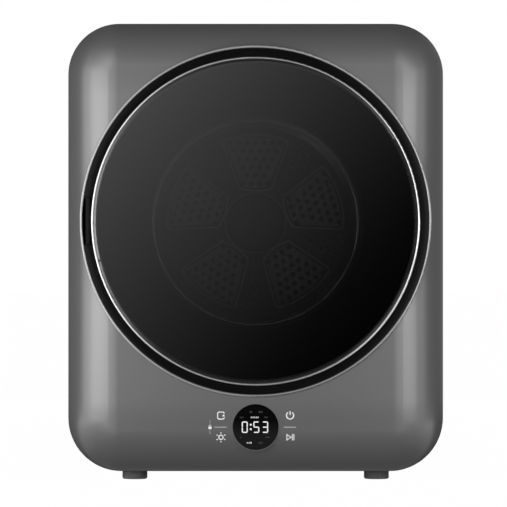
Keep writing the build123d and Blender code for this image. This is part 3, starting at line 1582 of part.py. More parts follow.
with BuildPart() as door_switch:
    with BuildSketch(front_view(y_switch + switch_depth)):
        with Locations((switch_x, switch_z)):
            Rectangle(switch_width, switch_height)
    extrude(amount=switch_depth)
    with BuildSketch(front_view(y_switch + switch_depth - 4)):
        with Locations((switch_hole_x, switch_hole_z)):
            Circle(plunger_radius + running_gap)
    extrude(amount=switch_depth, mode=Mode.SUBTRACT)
    with BuildSketch(front_view(y_switch + switch_depth + switch_terminal_length)):
        with Locations((switch_x, switch_z + 6), (switch_x, switch_z - 6)):
            Rectangle(5, 0.8)
    extrude(amount=switch_terminal_length + seat_gap)
door_switch.part.label = "door_switch"
export_step(door_switch.part, "parts/door_switch.step")

with BuildPart() as switch_plunger:
    with BuildSketch(front_view(y_switch + switch_depth - 5)):
        with Locations((switch_hole_x, switch_hole_z)):
            Circle(plunger_radius)
    extrude(amount=y_switch + switch_depth - 5 - (y_door_back + soft_gap))
    fillet(switch_plunger.edges().group_by(Axis.Y)[0], 0.8)
switch_plunger.part.label = "switch_plunger"
export_step(switch_plunger.part, "parts/switch_plunger.step")
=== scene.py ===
# %% [markdown]
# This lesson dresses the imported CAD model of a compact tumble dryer. The CAD nodes keep their
# shapes and places, and Blender adds finishes, printed marks, the lit display and small hardware.
# Everything is in metres: X to the right, Y from the front to the back, Z up from the ground.

# %% Load the frame
import math
import random

import bmesh
import bpy
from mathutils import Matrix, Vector


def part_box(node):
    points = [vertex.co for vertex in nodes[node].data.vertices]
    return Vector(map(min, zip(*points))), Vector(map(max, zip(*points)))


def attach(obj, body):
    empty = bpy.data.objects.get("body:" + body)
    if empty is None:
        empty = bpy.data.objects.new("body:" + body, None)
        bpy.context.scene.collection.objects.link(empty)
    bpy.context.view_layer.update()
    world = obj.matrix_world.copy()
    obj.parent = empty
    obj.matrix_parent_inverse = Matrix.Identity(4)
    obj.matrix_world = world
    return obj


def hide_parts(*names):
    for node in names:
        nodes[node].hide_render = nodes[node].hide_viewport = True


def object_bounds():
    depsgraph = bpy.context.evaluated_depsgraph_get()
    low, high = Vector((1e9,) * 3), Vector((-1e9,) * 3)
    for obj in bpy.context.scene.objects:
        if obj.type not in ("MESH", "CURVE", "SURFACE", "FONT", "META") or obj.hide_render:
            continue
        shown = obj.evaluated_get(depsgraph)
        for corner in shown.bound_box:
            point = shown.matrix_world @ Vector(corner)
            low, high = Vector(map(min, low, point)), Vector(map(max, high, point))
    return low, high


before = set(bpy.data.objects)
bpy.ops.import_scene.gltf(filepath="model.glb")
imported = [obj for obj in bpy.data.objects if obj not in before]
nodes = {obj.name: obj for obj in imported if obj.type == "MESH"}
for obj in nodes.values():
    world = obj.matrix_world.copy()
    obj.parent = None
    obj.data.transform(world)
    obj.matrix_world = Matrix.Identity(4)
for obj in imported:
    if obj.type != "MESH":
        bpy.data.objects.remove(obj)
cad_low, cad_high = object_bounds()
MM = 0.001
print("CAD box", [round(v, 3) for v in cad_low], [round(v, 3) for v in cad_high])

# %% [markdown]
# A few places come straight from the CAD boxes, so that printed marks and trims sit on their
# carriers whatever happens to the sizes in the source.

# %% Measure the places that the looks depend on
glass_low, glass_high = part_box("door_glass")
lens_low, lens_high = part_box("display_lens")
panel_low, panel_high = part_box("front_panel")
drum_low, drum_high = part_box("drum_shell")
filter_low, filter_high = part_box("filter_cover")

door_z = (glass_low.z + glass_high.z) / 2
display_z = (lens_low.z + lens_high.z) / 2
y_lens_front = lens_low.y
lip_to_face = 2.5 * MM
y_face = panel_low.y + lip_to_face
front_round = 54.0 * MM
print("door centre height", round(door_z, 4), "display height", round(display_z, 4))

# %% [markdown]
# A finish is a small tree of shader nodes. Linking every node by hand is long and hides what a
# tree does, so these helpers fill a socket with a value or with the output of another node, and
# hand back outputs that go straight into the next node. Every pattern reads the object's own
# coordinates, so it stays on a piece that moves.

# %% Helpers for shader trees


def put(socket, value):
    """Links the output of a node to the socket, or gives the socket a plain value."""
    if isinstance(value, bpy.types.NodeSocket):
        socket.id_data.links.new(value, socket)
    else:
        socket.default_value = value


def add_node(tree, kind, **sockets):
    """A node with its sockets filled; an underscore stands for the space in a socket's name."""
    node = tree.nodes.new(kind)
    for name, value in sockets.items():
        put(node.inputs[name.replace("_", " ")], value)
    return node


def calculate(tree, operation, first, second=0.0):
    """The result of one calculation on two values."""
    node = tree.nodes.new("ShaderNodeMath")
    node.operation = operation
    put(node.inputs[0], first)
    put(node.inputs[1], second)
    return node.outputs[0]


def ranged(tree, value, start, end, low, high, ease="LINEAR"):
    """Turns a value between start and end into one between low and high."""
    node = add_node(tree, "ShaderNodeMapRange", From_Min=start, From_Max=end, To_Min=low, To_Max=high)
    node.interpolation_type = ease
    put(node.inputs["Value"], value)
    return node.outputs["Result"]


def spread(tree, value, low, high):
    """Turns a 0 to 1 value into one between low and high."""
    return ranged(tree, value, 0.0, 1.0, low, high)


def eased(tree, value, start, end, most=1.0):
    """Rises softly from 0 between two places."""
    return ranged(tree, value, start, end, 0.0, most, "SMOOTHSTEP")


def own_place(tree):
    """Where a point is in the object's own coordinates."""
    return tree.nodes.new("ShaderNodeTexCoord").outputs["Object"]


def own_axis(tree, axis):
    """One of the three parts of that place."""
    return add_node(tree, "ShaderNodeSeparateXYZ", Vector=own_place(tree)).outputs[axis]


def noise_at(tree, scale, detail=3.0, stretch=(1.0, 1.0, 1.0)):
    """Noise, stretched along an axis where asked."""
    mapping = add_node(tree, "ShaderNodeMapping", Vector=own_place(tree), Scale=stretch)
    place = mapping.outputs["Vector"]
    return add_node(tree, "ShaderNodeTexNoise", Vector=place, Scale=scale, Detail=detail).outputs["Fac"]


def two_tone(tree, value, dark, light):
    """Mixes two colours by a value."""
    ramp = add_node(tree, "ShaderNodeValToRGB", Fac=value)
    stops = ramp.color_ramp.elements
    stops[0].color = (*dark, 1.0)
    stops[1].color = (*light, 1.0)
    stops[0].position = 0.3
    stops[1].position = 0.7
    return ramp.outputs["Color"]


# %% [markdown]
# The next helpers make a material and give its Principled shader its plain values. Constants go
# onto the shader's own sockets, because the export reads them there. A finish that is already
# made can be painted over in one region, and it can get a broad bump under its fine one.

# %% Helpers for finishes


def grey(level):
    """A neutral colour."""
    return (level, level, level)


def new_finish(name, colour, roughness, metallic=0.0, **settings):
    """A material with its plain values set, its node tree and its shader."""
    material = bpy.data.materials.new(name)
    material.use_nodes = True
    tree = material.node_tree
    shader = tree.nodes["Principled BSDF"]
    settings.update(Base_Color=(*colour, 1.0), Roughness=roughness, Metallic=metallic)
    for socket, value in settings.items():
        shader.inputs[socket.replace("_", " ")].default_value = value
    material.diffuse_color = (*colour, 1.0)
    return material, tree, shader


def relief(tree, shader, value, height):
    """Fine bumps, height in metres."""
    bump = add_node(tree, "ShaderNodeBump", Height=value, Distance=height)
    put(shader.inputs["Normal"], bump.outputs["Normal"])


def paint_over(material, share, colour):
    """Mixes a colour over the finish's own, where the share is above 0."""
    tree = material.node_tree
    base = tree.nodes["Principled BSDF"].inputs["Base Color"]
    mix = tree.nodes.new("ShaderNodeMix")
    mix.data_type = "RGBA"
    put(mix.inputs["Factor"], share)
    put(mix.inputs["A"], base.links[0].from_socket)
    put(mix.inputs["B"], (*colour, 1.0))
    put(base, mix.outputs["Result"])


def shape_under(material, value, height, inward=False):
    """Adds a broad bump under the fine bump of a finish."""
    tree = material.node_tree
    fine_bump = tree.nodes["Principled BSDF"].inputs["Normal"].links[0].from_node
    broad_bump = add_node(tree, "ShaderNodeBump", Height=value, Distance=height)
    broad_bump.invert = inward
    put(fine_bump.inputs["Normal"], broad_bump.outputs["Normal"])


# %% [markdown]
# The body is painted in a dark grey metallic lacquer. Fine flakes make the colour shimmer a
# little, and its satin gloss carries the long soft highlights on the rounded edges. The same
# lacquer on steel and on plastic differs only in the texture under it.

# %% Lacquer of the body


def lacquer(name, dark, light, orange_peel):
    """Dark metallic lacquer: flakes in the colour, a slight orange peel in the surface."""
    middle = tuple((a + b) / 2 for a, b in zip(dark, light))
    material, tree, shader = new_finish(name, middle, 0.33, 0.5)
    put(shader.inputs["Base Color"], two_tone(tree, noise_at(tree, 2600.0, 1.0), dark, light))
    put(shader.inputs["Roughness"], spread(tree, noise_at(tree, 6.0, 2.0), 0.31, 0.35))
    relief(tree, shader, noise_at(tree, 420.0, 2.0), orange_peel)
    return material


front_lacquer = lacquer("front_lacquer", (0.112, 0.112, 0.114), (0.133, 0.133, 0.135), 0.000012)
wrap_lacquer = lacquer("wrap_lacquer", (0.106, 0.106, 0.108), (0.127, 0.127, 0.129), 0.00002)
cover_lacquer = lacquer("cover_lacquer", (0.090, 0.090, 0.092), (0.108, 0.108, 0.110), 0.00003)
print("lacquers for the front panel, the wrap and the rear cover")

# %% [markdown]
# The crown of the collar is painted paler, a painted highlight where its rounding catches the light.
# The face falls away a little before each rounding, since a real moulding has no sharp line there,
# and so the highlights begin softly. The CAD mesh stays as it is, so both are made in the finish:
# the first by colour at the height of the crown, the second by a broad bump.

# %% Collar and shoulders of the front panel
crown_start = y_face - 1.2 * MM
crown_end = y_face - 2.0 * MM
crown_height = own_axis(front_lacquer.node_tree, "Y")
crown_painted_highlight = ranged(front_lacquer.node_tree, crown_height, crown_start, crown_end, 0.0, 1.0)
# The paler colour on the collar's crown is a painted highlight.
paint_over(front_lacquer, crown_painted_highlight, (0.26, 0.26, 0.262))


def fall_before_edges(tree):
    """Rises from 0 on the face to more in each rounding, sooner at the top and the bottom."""
    before = 13.0 * MM
    long_before = 38.0 * MM
    after = 15.0 * MM
    most_at_top = 1.6
    most_at_bottom = 1.3
    side = panel_high.x - front_round
    top = panel_high.z - front_round
    bottom = panel_low.z + front_round
    across = calculate(tree, "ABSOLUTE", own_axis(tree, "X"))
    height = own_axis(tree, "Z")
    at_sides = eased(tree, across, side - before, side + after)
    at_top = eased(tree, height, top - long_before, top + after, most_at_top)
    at_bottom = eased(tree, height, bottom + long_before, bottom - after, most_at_bottom)
    return calculate(tree, "ADD", calculate(tree, "ADD", at_sides, at_top), at_bottom)


shoulder_fall = 1.6 * MM
shape_under(front_lacquer, fall_before_edges(front_lacquer.node_tree), shoulder_fall, inward=True)
print("shoulders fall by", round(shoulder_fall, 4))

# %% [markdown]
# Moulded plastic has a fine grain from its tool, which breaks up the gloss. The grain is a
# small noise in the surface, and a broad cloud varies colour and roughness as handling does.

# %% Moulded plastics


def moulded(name, colour, roughness, grain=0.00002, grain_scale=1500.0, **settings):
    """Plastic from a grained mould."""
    material, tree, shader = new_finish(name, colour, roughness, **settings)
    relief(tree, shader, noise_at(tree, grain_scale, 2.0), grain)
    clouds = noise_at(tree, 14.0, 3.0)
    lighter = tuple(min(1.0, c * 1.12 + 0.001) for c in colour)
    darker = tuple(c * 0.9 for c in colour)
    put(shader.inputs["Roughness"], spread(tree, clouds, roughness * 0.9, roughness * 1.1))
    put(shader.inputs["Base Color"], two_tone(tree, clouds, darker, lighter))
    return material


black_moulding = moulded("black_moulding", (0.014, 0.014, 0.015), 0.45)
surround_black = moulded("surround_black", grey(0.0017), 0.3, 0.000008, Specular_IOR_Level=0.10)
frame_black = moulded("frame_black", grey(0.002), 0.55, Specular_IOR_Level=0.1)
hinge_black = moulded("hinge_black", grey(0.004), 0.5, 0.00001, 1200.0, Specular_IOR_Level=0.06)
tray_grey = moulded("tray_grey", (0.075, 0.075, 0.077), 0.55, 0.00004)
duct_grey = moulded("duct_grey", (0.17, 0.175, 0.18), 0.5)
lifter_grey = moulded("lifter_grey", (0.20, 0.205, 0.21), 0.42)
filter_grey = moulded("filter_grey", (0.14, 0.14, 0.142), 0.5, 0.00001, Specular_IOR_Level=0.2)
glide_white = moulded("glide_white", (0.62, 0.62, 0.60), 0.35)
ring_grey = moulded("ring_grey", (0.030, 0.030, 0.032), 0.28, 0.000006)
foot_rubber = moulded("foot_rubber", (0.115, 0.115, 0.117), 0.7, 0.00005, 900.0)
seal_rubber = moulded("seal_rubber", (0.020, 0.020, 0.021), 0.62, 0.00003)
belt_rubber = moulded("belt_rubber", (0.016, 0.016, 0.017), 0.7, 0.00005)
print("moulded plastics and rubbers made")

# %% [markdown]
# The groove round the door ends in a hollow rounding at the collar. A bump that rises with the
# distance from the door's axis stands for it, so that the groove catches light from the sides.

# %% Hollow of the groove
groove_rim = panel_high.x - 20.0 * MM
hollow_width = 11.0 * MM
hollow_rise = 5.0 * MM


def far_from_axis(tree):
    """Distance of a point from the door's axis."""
    from_axis = tree.nodes.new("ShaderNodeVectorMath")
    from_axis.operation = "MULTIPLY_ADD"
    put(from_axis.inputs[0], own_place(tree))
    put(from_axis.inputs[1], (1.0, 0.0, 1.0))
    put(from_axis.inputs[2], (0.0, 0.0, -door_z))
    distance = tree.nodes.new("ShaderNodeVectorMath")
    distance.operation = "LENGTH"
    put(distance.inputs[0], from_axis.outputs["Vector"])
    return distance.outputs["Value"]


groove_tree = surround_black.node_tree
hollow_start = groove_rim - hollow_width
hollow_end = groove_rim + hollow_width
hollow = eased(groove_tree, far_from_axis(groove_tree), hollow_start, hollow_end)
shape_under(surround_black, hollow, hollow_rise)
print("hollow from radius", round(hollow_start, 4), "to", round(hollow_end, 4))

# %% [markdown]
# The five petals of the lint filter are raised from its plate and stand out paler through the
# dark glass. Their height picks them out: between the plate and the hub's front lies only them.

# %% Paler petals on the lint filter
hub_rise = 8.0 * MM
petal_rise = 2.5 * MM
y_plate = filter_low.y + hub_rise
y_petal = y_plate - petal_rise

filter_tree = filter_grey.node_tree
filter_depth = own_axis(filter_tree, "Y")
clear_of_plate = eased(filter_tree, filter_depth, y_plate - 0.6 * MM, y_plate - 1.6 * MM)
clear_of_hub = eased(filter_tree, filter_depth, y_plate - 4.0 * MM, y_plate - 3.0 * MM)
petal_share = calculate(filter_tree, "MULTIPLY", clear_of_plate, clear_of_hub)
paint_over(filter_grey, petal_share, (0.30, 0.30, 0.305))
print("petals at depth", round(y_petal, 4))

# %% [markdown]
# Metals: stainless sheet is brushed round the drum, zinc-coated sheet shows faint crystals,
# and the door's trim is polished chrome. Brushing is noise that is stretched along the strokes.

# %% Metals


def brushed(name, colour, roughness, stretch, depth=0.000006):
    """Metal with fine strokes along one direction."""
    material, tree, shader = new_finish(name, colour, roughness, 1.0)
    strokes = noise_at(tree, 260.0, 4.0, stretch)
    put(shader.inputs["Roughness"], spread(tree, strokes, roughness * 0.75, roughness * 1.35))
    relief(tree, shader, strokes, depth)
    return material


def zinc_sheet(name, colour):
    """Zinc-coated steel with its pattern of crystals."""
    material, tree, shader = new_finish(name, colour, 0.42, 0.9)
    pattern = add_node(tree, "ShaderNodeTexVoronoi", Vector=own_place(tree), Scale=160.0)
    crystals = pattern.outputs["Color"]
    dark = tuple(c * 0.86 for c in colour)
    put(shader.inputs["Roughness"], spread(tree, crystals, 0.34, 0.5))
    put(shader.inputs["Base Color"], two_tone(tree, crystals, dark, colour))
    return material


def polished(name, colour):
    """Metal with a mirror finish that is a little uneven."""
    material, tree, shader = new_finish(name, colour, 0.30, 1.0)
    put(shader.inputs["Roughness"], spread(tree, noise_at(tree, 60.0, 2.0), 0.27, 0.33))
    return material


drum_stainless = brushed("drum_stainless", (0.56, 0.56, 0.57), 0.30, (0.05, 1.0, 1.0))
ground_steel = brushed("ground_steel", (0.60, 0.60, 0.61), 0.28, (1.0, 0.1, 1.0))
screw_steel = brushed("screw_steel", (0.55, 0.55, 0.56), 0.32, (1.0, 1.0, 1.0))
blackened_steel = brushed("blackened_steel", grey(0.02), 0.6, (1.0, 1.0, 0.1))
cast_aluminium = brushed("cast_aluminium", (0.48, 0.48, 0.49), 0.50, (1.0, 1.0, 1.0), 0.00003)
fin_aluminium = brushed("fin_aluminium", (0.66, 0.66, 0.67), 0.38, (1.0, 0.2, 1.0))
zinc = zinc_sheet("zinc", (0.52, 0.53, 0.54))
chrome = polished("chrome", (0.52, 0.52, 0.525))
print("metals made")

# %% [markdown]
# Two kinds of see-through pieces: the door's outer disc is almost black glass, the bowl behind
# it is clear. A low alpha on the Principled shader lets the drum show through without bending
# the light, which is true for walls of even thickness and renders without noise. The display's
# lens is painted lighter towards its bottom, as a painted reflection.

# %% Glass


def see_through(name, tint, alpha, roughness, mirror):
    """Glass seen as a thin wall, with a trace of wiping marks in its roughness."""
    material, tree, shader = new_finish(name, tint, roughness, Alpha=alpha, Specular_IOR_Level=mirror)
    wiping = noise_at(tree, 5.0, 3.0, (1.0, 1.0, 2.5))
    put(shader.inputs["Roughness"], spread(tree, wiping, roughness, roughness + 0.012))
    return material


tinted_glass = see_through("tinted_glass", grey(0.001), 0.66, 0.0, 1.0)
clear_glass = see_through("clear_glass", grey(0.05), 0.05, 0.03, 0.1)
smoked_lens = moulded("smoked_lens", grey(0.003), 0.12, 0.000001, Specular_IOR_Level=0.3)
lens_tree = smoked_lens.node_tree
# The lens is painted lighter towards its bottom: a painted reflection.
towards_bottom = eased(lens_tree, own_axis(lens_tree, "Z"), lens_high.z, lens_low.z)
lens_painted_reflection = two_tone(lens_tree, towards_bottom, grey(0.0008), grey(0.007))
put(lens_tree.nodes["Principled BSDF"].inputs["Base Color"], lens_painted_reflection)
print("glass for the door and the display")

# %% [markdown]
# Cloth and boards: the felt rings are pressed wool, the lint filter is a fine woven mesh, and
# the boards are green laminate with copper tracks showing as lighter lines.

# %% Felt, mesh and boards
felt_wool = moulded("felt_wool", (0.46, 0.45, 0.42), 0.95, 0.0003, 700.0)

lint_mesh, lint_tree, lint_shader = new_finish("lint_mesh", grey(0.05), 0.8)
lint_weave = add_node(lint_tree, "ShaderNodeTexChecker", Vector=own_place(lint_tree), Scale=1400.0)
put(lint_weave.inputs["Color1"], (*grey(0.01), 1.0))
put(lint_weave.inputs["Color2"], (*grey(0.07), 1.0))
put(lint_shader.inputs["Base Color"], lint_weave.outputs["Color"])

board_green, board_tree, board_shader = new_finish("board_green", (0.02, 0.12, 0.045), 0.4)
tracks = add_node(
    board_tree, "ShaderNodeTexWave", Vector=own_place(board_tree), Scale=60.0, Distortion=3.0,
)
track_colour = two_tone(board_tree, tracks.outputs["Fac"], (0.015, 0.10, 0.035), (0.03, 0.17, 0.06))
put(board_shader.inputs["Base Color"], track_colour)
print("felt, woven mesh and laminate made")

# %% [markdown]
# Each CAD node takes its finish by a table from finish to nodes. The mesh is not touched.

# %% Dress the CAD nodes
finishes = {
    front_lacquer: ["front_panel"],
    wrap_lacquer: ["cabinet_wrap"],
    cover_lacquer: ["rear_cover"],
    tray_grey: ["base_tray"],
    foot_rubber: ["foot_front_left", "foot_front_right", "foot_rear_left", "foot_rear_right"],
    surround_black: ["door_surround"],
    frame_black: ["door_frame"],
    black_moulding: ["cord_gland", "catch_magnet", "door_switch", "control_housing", "exhaust_spigot"],
    hinge_black: ["hinge_bracket", "hinge_leaf", "strike_plate"],
    screw_steel: ["case_screws", "door_screws"],
    zinc: ["front_bulkhead", "rear_bulkhead", "motor_bracket", "idler_arm", "heater_housing"],
    felt_wool: ["front_felt", "rear_seal"],
    glide_white: ["drum_glides", "switch_plunger", "motor_capacitor", "idler_pulley"],
    cast_aluminium: ["bearing_housing", "motor_housing"],
    ground_steel: ["rear_bearing", "drum_shaft", "motor_shaft", "idler_spring"],
    blackened_steel: ["hinge_pin"],
    fin_aluminium: ["ptc_heater"],
    duct_grey: ["hot_air_duct", "rear_duct", "blower_housing", "blower_wheel"],
    drum_stainless: ["drum_shell", "drum_back"],
    lifter_grey: ["lifter_1", "lifter_2", "lifter_3"],
    filter_grey: ["filter_cover"],
    lint_mesh: ["filter_mesh"],
    tinted_glass: ["door_glass"],
    clear_glass: ["door_window"],
    chrome: ["door_trim_ring"],
    ring_grey: ["door_inner_ring"],
    seal_rubber: ["door_gasket"],
    smoked_lens: ["display_lens"],
    board_green: ["display_board", "main_board"],
    belt_rubber: ["drive_belt"],
}
dressed = set()
for material, names in finishes.items():
    for name in names:
        slots = nodes[name].data.materials
        slots.clear()
        slots.append(material)
        dressed.add(name)
print("nodes without a finish:", sorted(set(nodes) - dressed))

# %% [markdown]
# Printed marks are thin sheets of ink on the panel. White ink is plain, and what lights up in
# the display glows by a weak emission, because it has to stay below the white of the backdrop.

# %% Ink and light
white = (1.0, 1.0, 1.0, 1.0)
ink_white, ink_tree, ink_shader = new_finish("ink_white", grey(0.64), 0.5)
ink_tone = two_tone(ink_tree, noise_at(ink_tree, 1800.0, 1.0), grey(0.60), grey(0.68))
put(ink_shader.inputs["Base Color"], ink_tone)
ink_dim = moulded("ink_dim", grey(0.36), 0.5, 0.000001)
unlit_mark = moulded("unlit_mark", grey(0.011), 0.3, 0.000001)
digit_light = new_finish("digit_light", grey(0.2), 0.5, Emission_Color=white, Emission_Strength=0.56)[0]
mark_light = new_finish("mark_light", grey(0.2), 0.5, Emission_Color=white, Emission_Strength=0.30)[0]
print("inks and lights made")

# %% [markdown]
# An icon is drawn flat as strokes, in millimetres about the display's centre, and every point is
# then laid on the panel, which is flat at the display and rounds back below it. A stroke is cut
# into short steps first, because a long straight one would sink into the rounding between its
# ends. All strokes of an icon become one thin mesh.

# %% Helpers that draw strokes


def short_steps(points, closed):
    """The same line with a point at least every millimetre, so that it can follow a curve."""
    result = []
    count = len(points)
    for index in range(count if closed else count - 1):
        x, z = points[index]
        next_x, next_z = points[(index + 1) % count]
        steps = max(1, math.ceil(math.hypot(next_x - x, next_z - z)))
        for step in range(steps):
            share = step / steps
            result.append((x + (next_x - x) * share, z + (next_z - z) * share))
    if not closed:
        result.append(points[-1])
    return result


def stroke(points, width, closed=False):
    """Polygons of a line of this width through the points."""
    points = short_steps(points, closed)
    count = len(points)
    left = []
    right = []
    for index, (x, z) in enumerate(points):
        before = points[(index - 1) % count] if closed or index > 0 else (x, z)
        after = points[(index + 1) % count] if closed or index < count - 1 else (x, z)
        first = Vector((x - before[0], z - before[1]))
        second = Vector((after[0] - x, after[1] - z))
        if first.length == 0:
            first = second
        if second.length == 0:
            second = first
        first.normalize()
        second.normalize()
        middle = (first + second).normalized()
        side = Vector((-middle.y, middle.x))
        widen = width / 2 / max(0.4, side.dot(Vector((-first.y, first.x))))
        left.append((x + side.x * widen, z + side.y * widen))
        right.append((x - side.x * widen, z - side.y * widen))
    faces = []
    for index in range(count if closed else count - 1):
        following = (index + 1) % count
        faces.append([right[index], right[following], left[following], left[index]])
    return faces


def arc(centre, radius, start, end, steps=24):
    """Points of an arc, angles in degrees anticlockwise from the right."""
    points = []
    for index in range(steps + 1):
        angle = math.radians(start + (end - start) * index / steps)
        points.append((centre[0] + radius * math.cos(angle), centre[1] + radius * math.sin(angle)))
    return points


# %% [markdown]
# Flat polygons become ink by an extrusion of a twentieth of a millimetre. The loose corners are
# merged first and the faces are turned outwards, so that each mark is a closed shell. Every new
# piece is linked into the scene and rides on the body that carries it.

# %% Helpers that keep meshes as pieces


def new_object(name, data):
    """An object for a mesh, a lamp or a camera, linked into the scene."""
    holder = bpy.data.objects.new(name, data)
    bpy.context.scene.collection.objects.link(holder)
    return holder


def keep_piece(name, mesh, body):
    """A finished mesh as a piece that rides on a body."""
    piece = new_object(name, mesh)
    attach(piece, body)
    print(name, len(mesh.polygons), "faces")
    return piece


def close_shape(shape, name):
    """Turns the faces outwards and keeps the shape as a mesh."""
    bmesh.ops.recalc_face_normals(shape, faces=shape.faces)
    mesh = bpy.data.meshes.new(name)
    shape.to_mesh(mesh)
    shape.free()
    return mesh


def turn_outwards(mesh):
    """Turns the faces of a closed mesh outwards and keeps its materials."""
    shape = bmesh.new()
    shape.from_mesh(mesh)
    bmesh.ops.recalc_face_normals(shape, faces=shape.faces)
    shape.to_mesh(mesh)
    shape.free()


def printed(name, polygons, material, surface, thickness):
    """Thin raised ink from flat polygons, laid on a surface of the casing."""
    shape = bmesh.new()
    for polygon in polygons:
        corners = []
        for x, z in polygon:
            height = display_z + z * MM
            corners.append(shape.verts.new((x * MM, surface(height), height)))
        shape.faces.new(corners)
    bmesh.ops.remove_doubles(shape, verts=shape.verts, dist=0.000002)
    bmesh.ops.recalc_face_normals(shape, faces=shape.faces)
    if sum(face.normal.y for face in shape.faces) > 0:
        bmesh.ops.reverse_faces(shape, faces=shape.faces)
    extruded = bmesh.ops.extrude_face_region(shape, geom=list(shape.faces))
    moved = [item for item in extruded["geom"] if isinstance(item, bmesh.types.BMVert)]
    bmesh.ops.translate(shape, verts=moved, vec=(0, -thickness, 0))
    mesh = close_shape(shape, name)
    mesh.materials.append(material)
    keep_piece(name, mesh, "casing")


def panel_y(z):
    """Depth of the front panel's surface at this height."""
    drop = panel_low.z + front_round - z
    if drop <= 0:
        return y_face
    return y_face + front_round - math.sqrt(front_round**2 - drop**2)


# %% [markdown]
# The icons on both sides of the display are generic: a loop, a sun and a padlock on the left,
# a power mark and a play and pause mark on the right, with a short divider between each pair.
# Their sizes and places were read from the photo in millimetres from the display's centre.

# %% Icons beside the display
loop_points = arc((-42.9, 17.4), 2.2, 0, 90, 6)
loop_points += arc((-47.1, 17.4), 2.2, 90, 180, 6)
loop_points += arc((-47.1, 12.6), 2.2, 180, 270, 6)
loop_points += arc((-42.9, 12.6), 2.2, 270, 355, 6)
loop_icon = stroke(loop_points, 1.3)
loop_icon += [[(-43.6, 14.0), (-39.6, 14.0), (-41.6, 16.8)]]

sun_x = -45.0
sun_z = -13.2
sun_icon = stroke(arc((sun_x, sun_z), 2.8, 0, 345, 23), 1.4, closed=True)
for ray in range(6):
    angle = math.radians(90 + 60 * ray)
    inner = (sun_x + 4.6 * math.cos(angle), sun_z + 4.6 * math.sin(angle))
    outer = (sun_x + 6.6 * math.cos(angle), sun_z + 6.6 * math.sin(angle))
    sun_icon += stroke([inner, outer], 1.3)

lock_icon = [[(-61.2, -2.6), (-57.2, -2.6), (-57.2, 0.8), (-61.2, 0.8)]]
lock_icon += stroke([(-60.5, 0.8)] + arc((-59.2, 1.6), 1.3, 180, 0, 8) + [(-57.9, 0.8)], 0.6)
lock_lines = stroke([(-58.2, 8.4), (-59.2, 8.4), (-59.2, 4.4)], 0.5)
lock_lines += stroke([(-59.2, -4.0), (-59.2, -8.2), (-58.2, -8.2)], 0.5)

power_icon = stroke(arc((44.6, 15.2), 4.7, 125, 415, 28), 1.45)
power_icon += stroke([(44.6, 15.6), (44.6, 20.9)], 1.4)

play_icon = stroke([(40.4, -9.6), (40.4, -16.6), (46.0, -13.1)], 1.25, closed=True)
for bar_x in (47.6, 49.6):
    play_icon += stroke([(bar_x, -9.0), (bar_x, -17.2)], 1.2)

dividers = stroke([(-53.6, 0.0), (-37.6, 0.0)], 0.9)
dividers += stroke([(36.2, 0.0), (52.2, 0.0)], 0.9)

ink_thickness = 0.05 * MM
printed("icons_left", loop_icon + sun_icon, ink_white, panel_y, ink_thickness)
printed("icon_lock", lock_icon, ink_white, panel_y, ink_thickness)
printed("icons_right", power_icon + play_icon, ink_white, panel_y, ink_thickness)
printed("panel_lines", dividers + lock_lines, ink_dim, panel_y, ink_thickness)

# %% [markdown]
# What repeats on the dryer is set by Geometry Nodes. A tree gets named inputs for its sizes and
# ends in Realize Instances and Set Material.

# %% Helpers for Geometry Nodes


def start_tree(name, **inputs):
    """A tree with a geometry input and output, and an input for each size with its default."""
    tree = bpy.data.node_groups.new(name, "GeometryNodeTree")
    tree.interface.new_socket("Geometry", in_out="INPUT", socket_type="NodeSocketGeometry")
    tree.interface.new_socket("Geometry", in_out="OUTPUT", socket_type="NodeSocketGeometry")
    kinds = {float: "NodeSocketFloat", int: "NodeSocketInt", tuple: "NodeSocketVector"}
    for size, value in inputs.items():
        label = size.replace("_", " ")
        socket = tree.interface.new_socket(label, in_out="INPUT", socket_type=kinds[type(value)])
        socket.default_value = value
    return tree, tree.nodes.new("NodeGroupInput").outputs


def finish_tree(tree, geometry, material):
    """Realize Instances and Set Material at the end of a tree."""
    realize = add_node(tree, "GeometryNodeRealizeInstances", Geometry=geometry)
    whole = realize.outputs["Geometry"]
    dress = add_node(tree, "GeometryNodeSetMaterial", Geometry=whole, Material=material)
    put(tree.nodes.new("NodeGroupOutput").inputs[0], dress.outputs["Geometry"])


def read_attribute(tree, name):
    """A number that each point carries, as a field."""
    return add_node(tree, "GeometryNodeInputNamedAttribute", Name=name).outputs["Attribute"]


def bake_tree(name, base_mesh, tree, values, body, material):
    """Runs a tree on a mesh and keeps the result as a plain mesh that rides on a body."""
    carrier = new_object(name + "_tree", base_mesh)
    modifier = carrier.modifiers.new("nodes", "NODES")
    modifier.node_group = tree
    for item in tree.interface.items_tree:
        if item.item_type == "SOCKET" and item.in_out == "INPUT" and item.name in values:
            modifier[item.identifier] = values[item.name]
    graph = bpy.context.evaluated_depsgraph_get()
    mesh = bpy.data.meshes.new_from_object(carrier.evaluated_get(graph))
    mesh.name = name
    turn_outwards(mesh)
    carrier.modifiers.clear()
    bpy.data.objects.remove(carrier)
    if not mesh.materials:
        mesh.materials.append(material)
    return keep_piece(name, mesh, body)


# %% [markdown]
# Segments of digits, collars, screw heads and dimples are each one small shape set on many
# points, so one tree serves them all. A point carries its turn about Y and its stretch along X
# as attributes, and the instances read them there.

# %% Tree that sets a shape on points


def marked_points(name, places, turns, stretches):
    """Loose points, each with its turn and its stretch."""
    mesh = bpy.data.meshes.new(name)
    mesh.from_pydata(places, [], [])
    for label, values in (("turn", turns), ("stretch", stretches)):
        attribute = mesh.attributes.new(label, "FLOAT", "POINT")
        attribute.data.foreach_set("value", values)
    return mesh


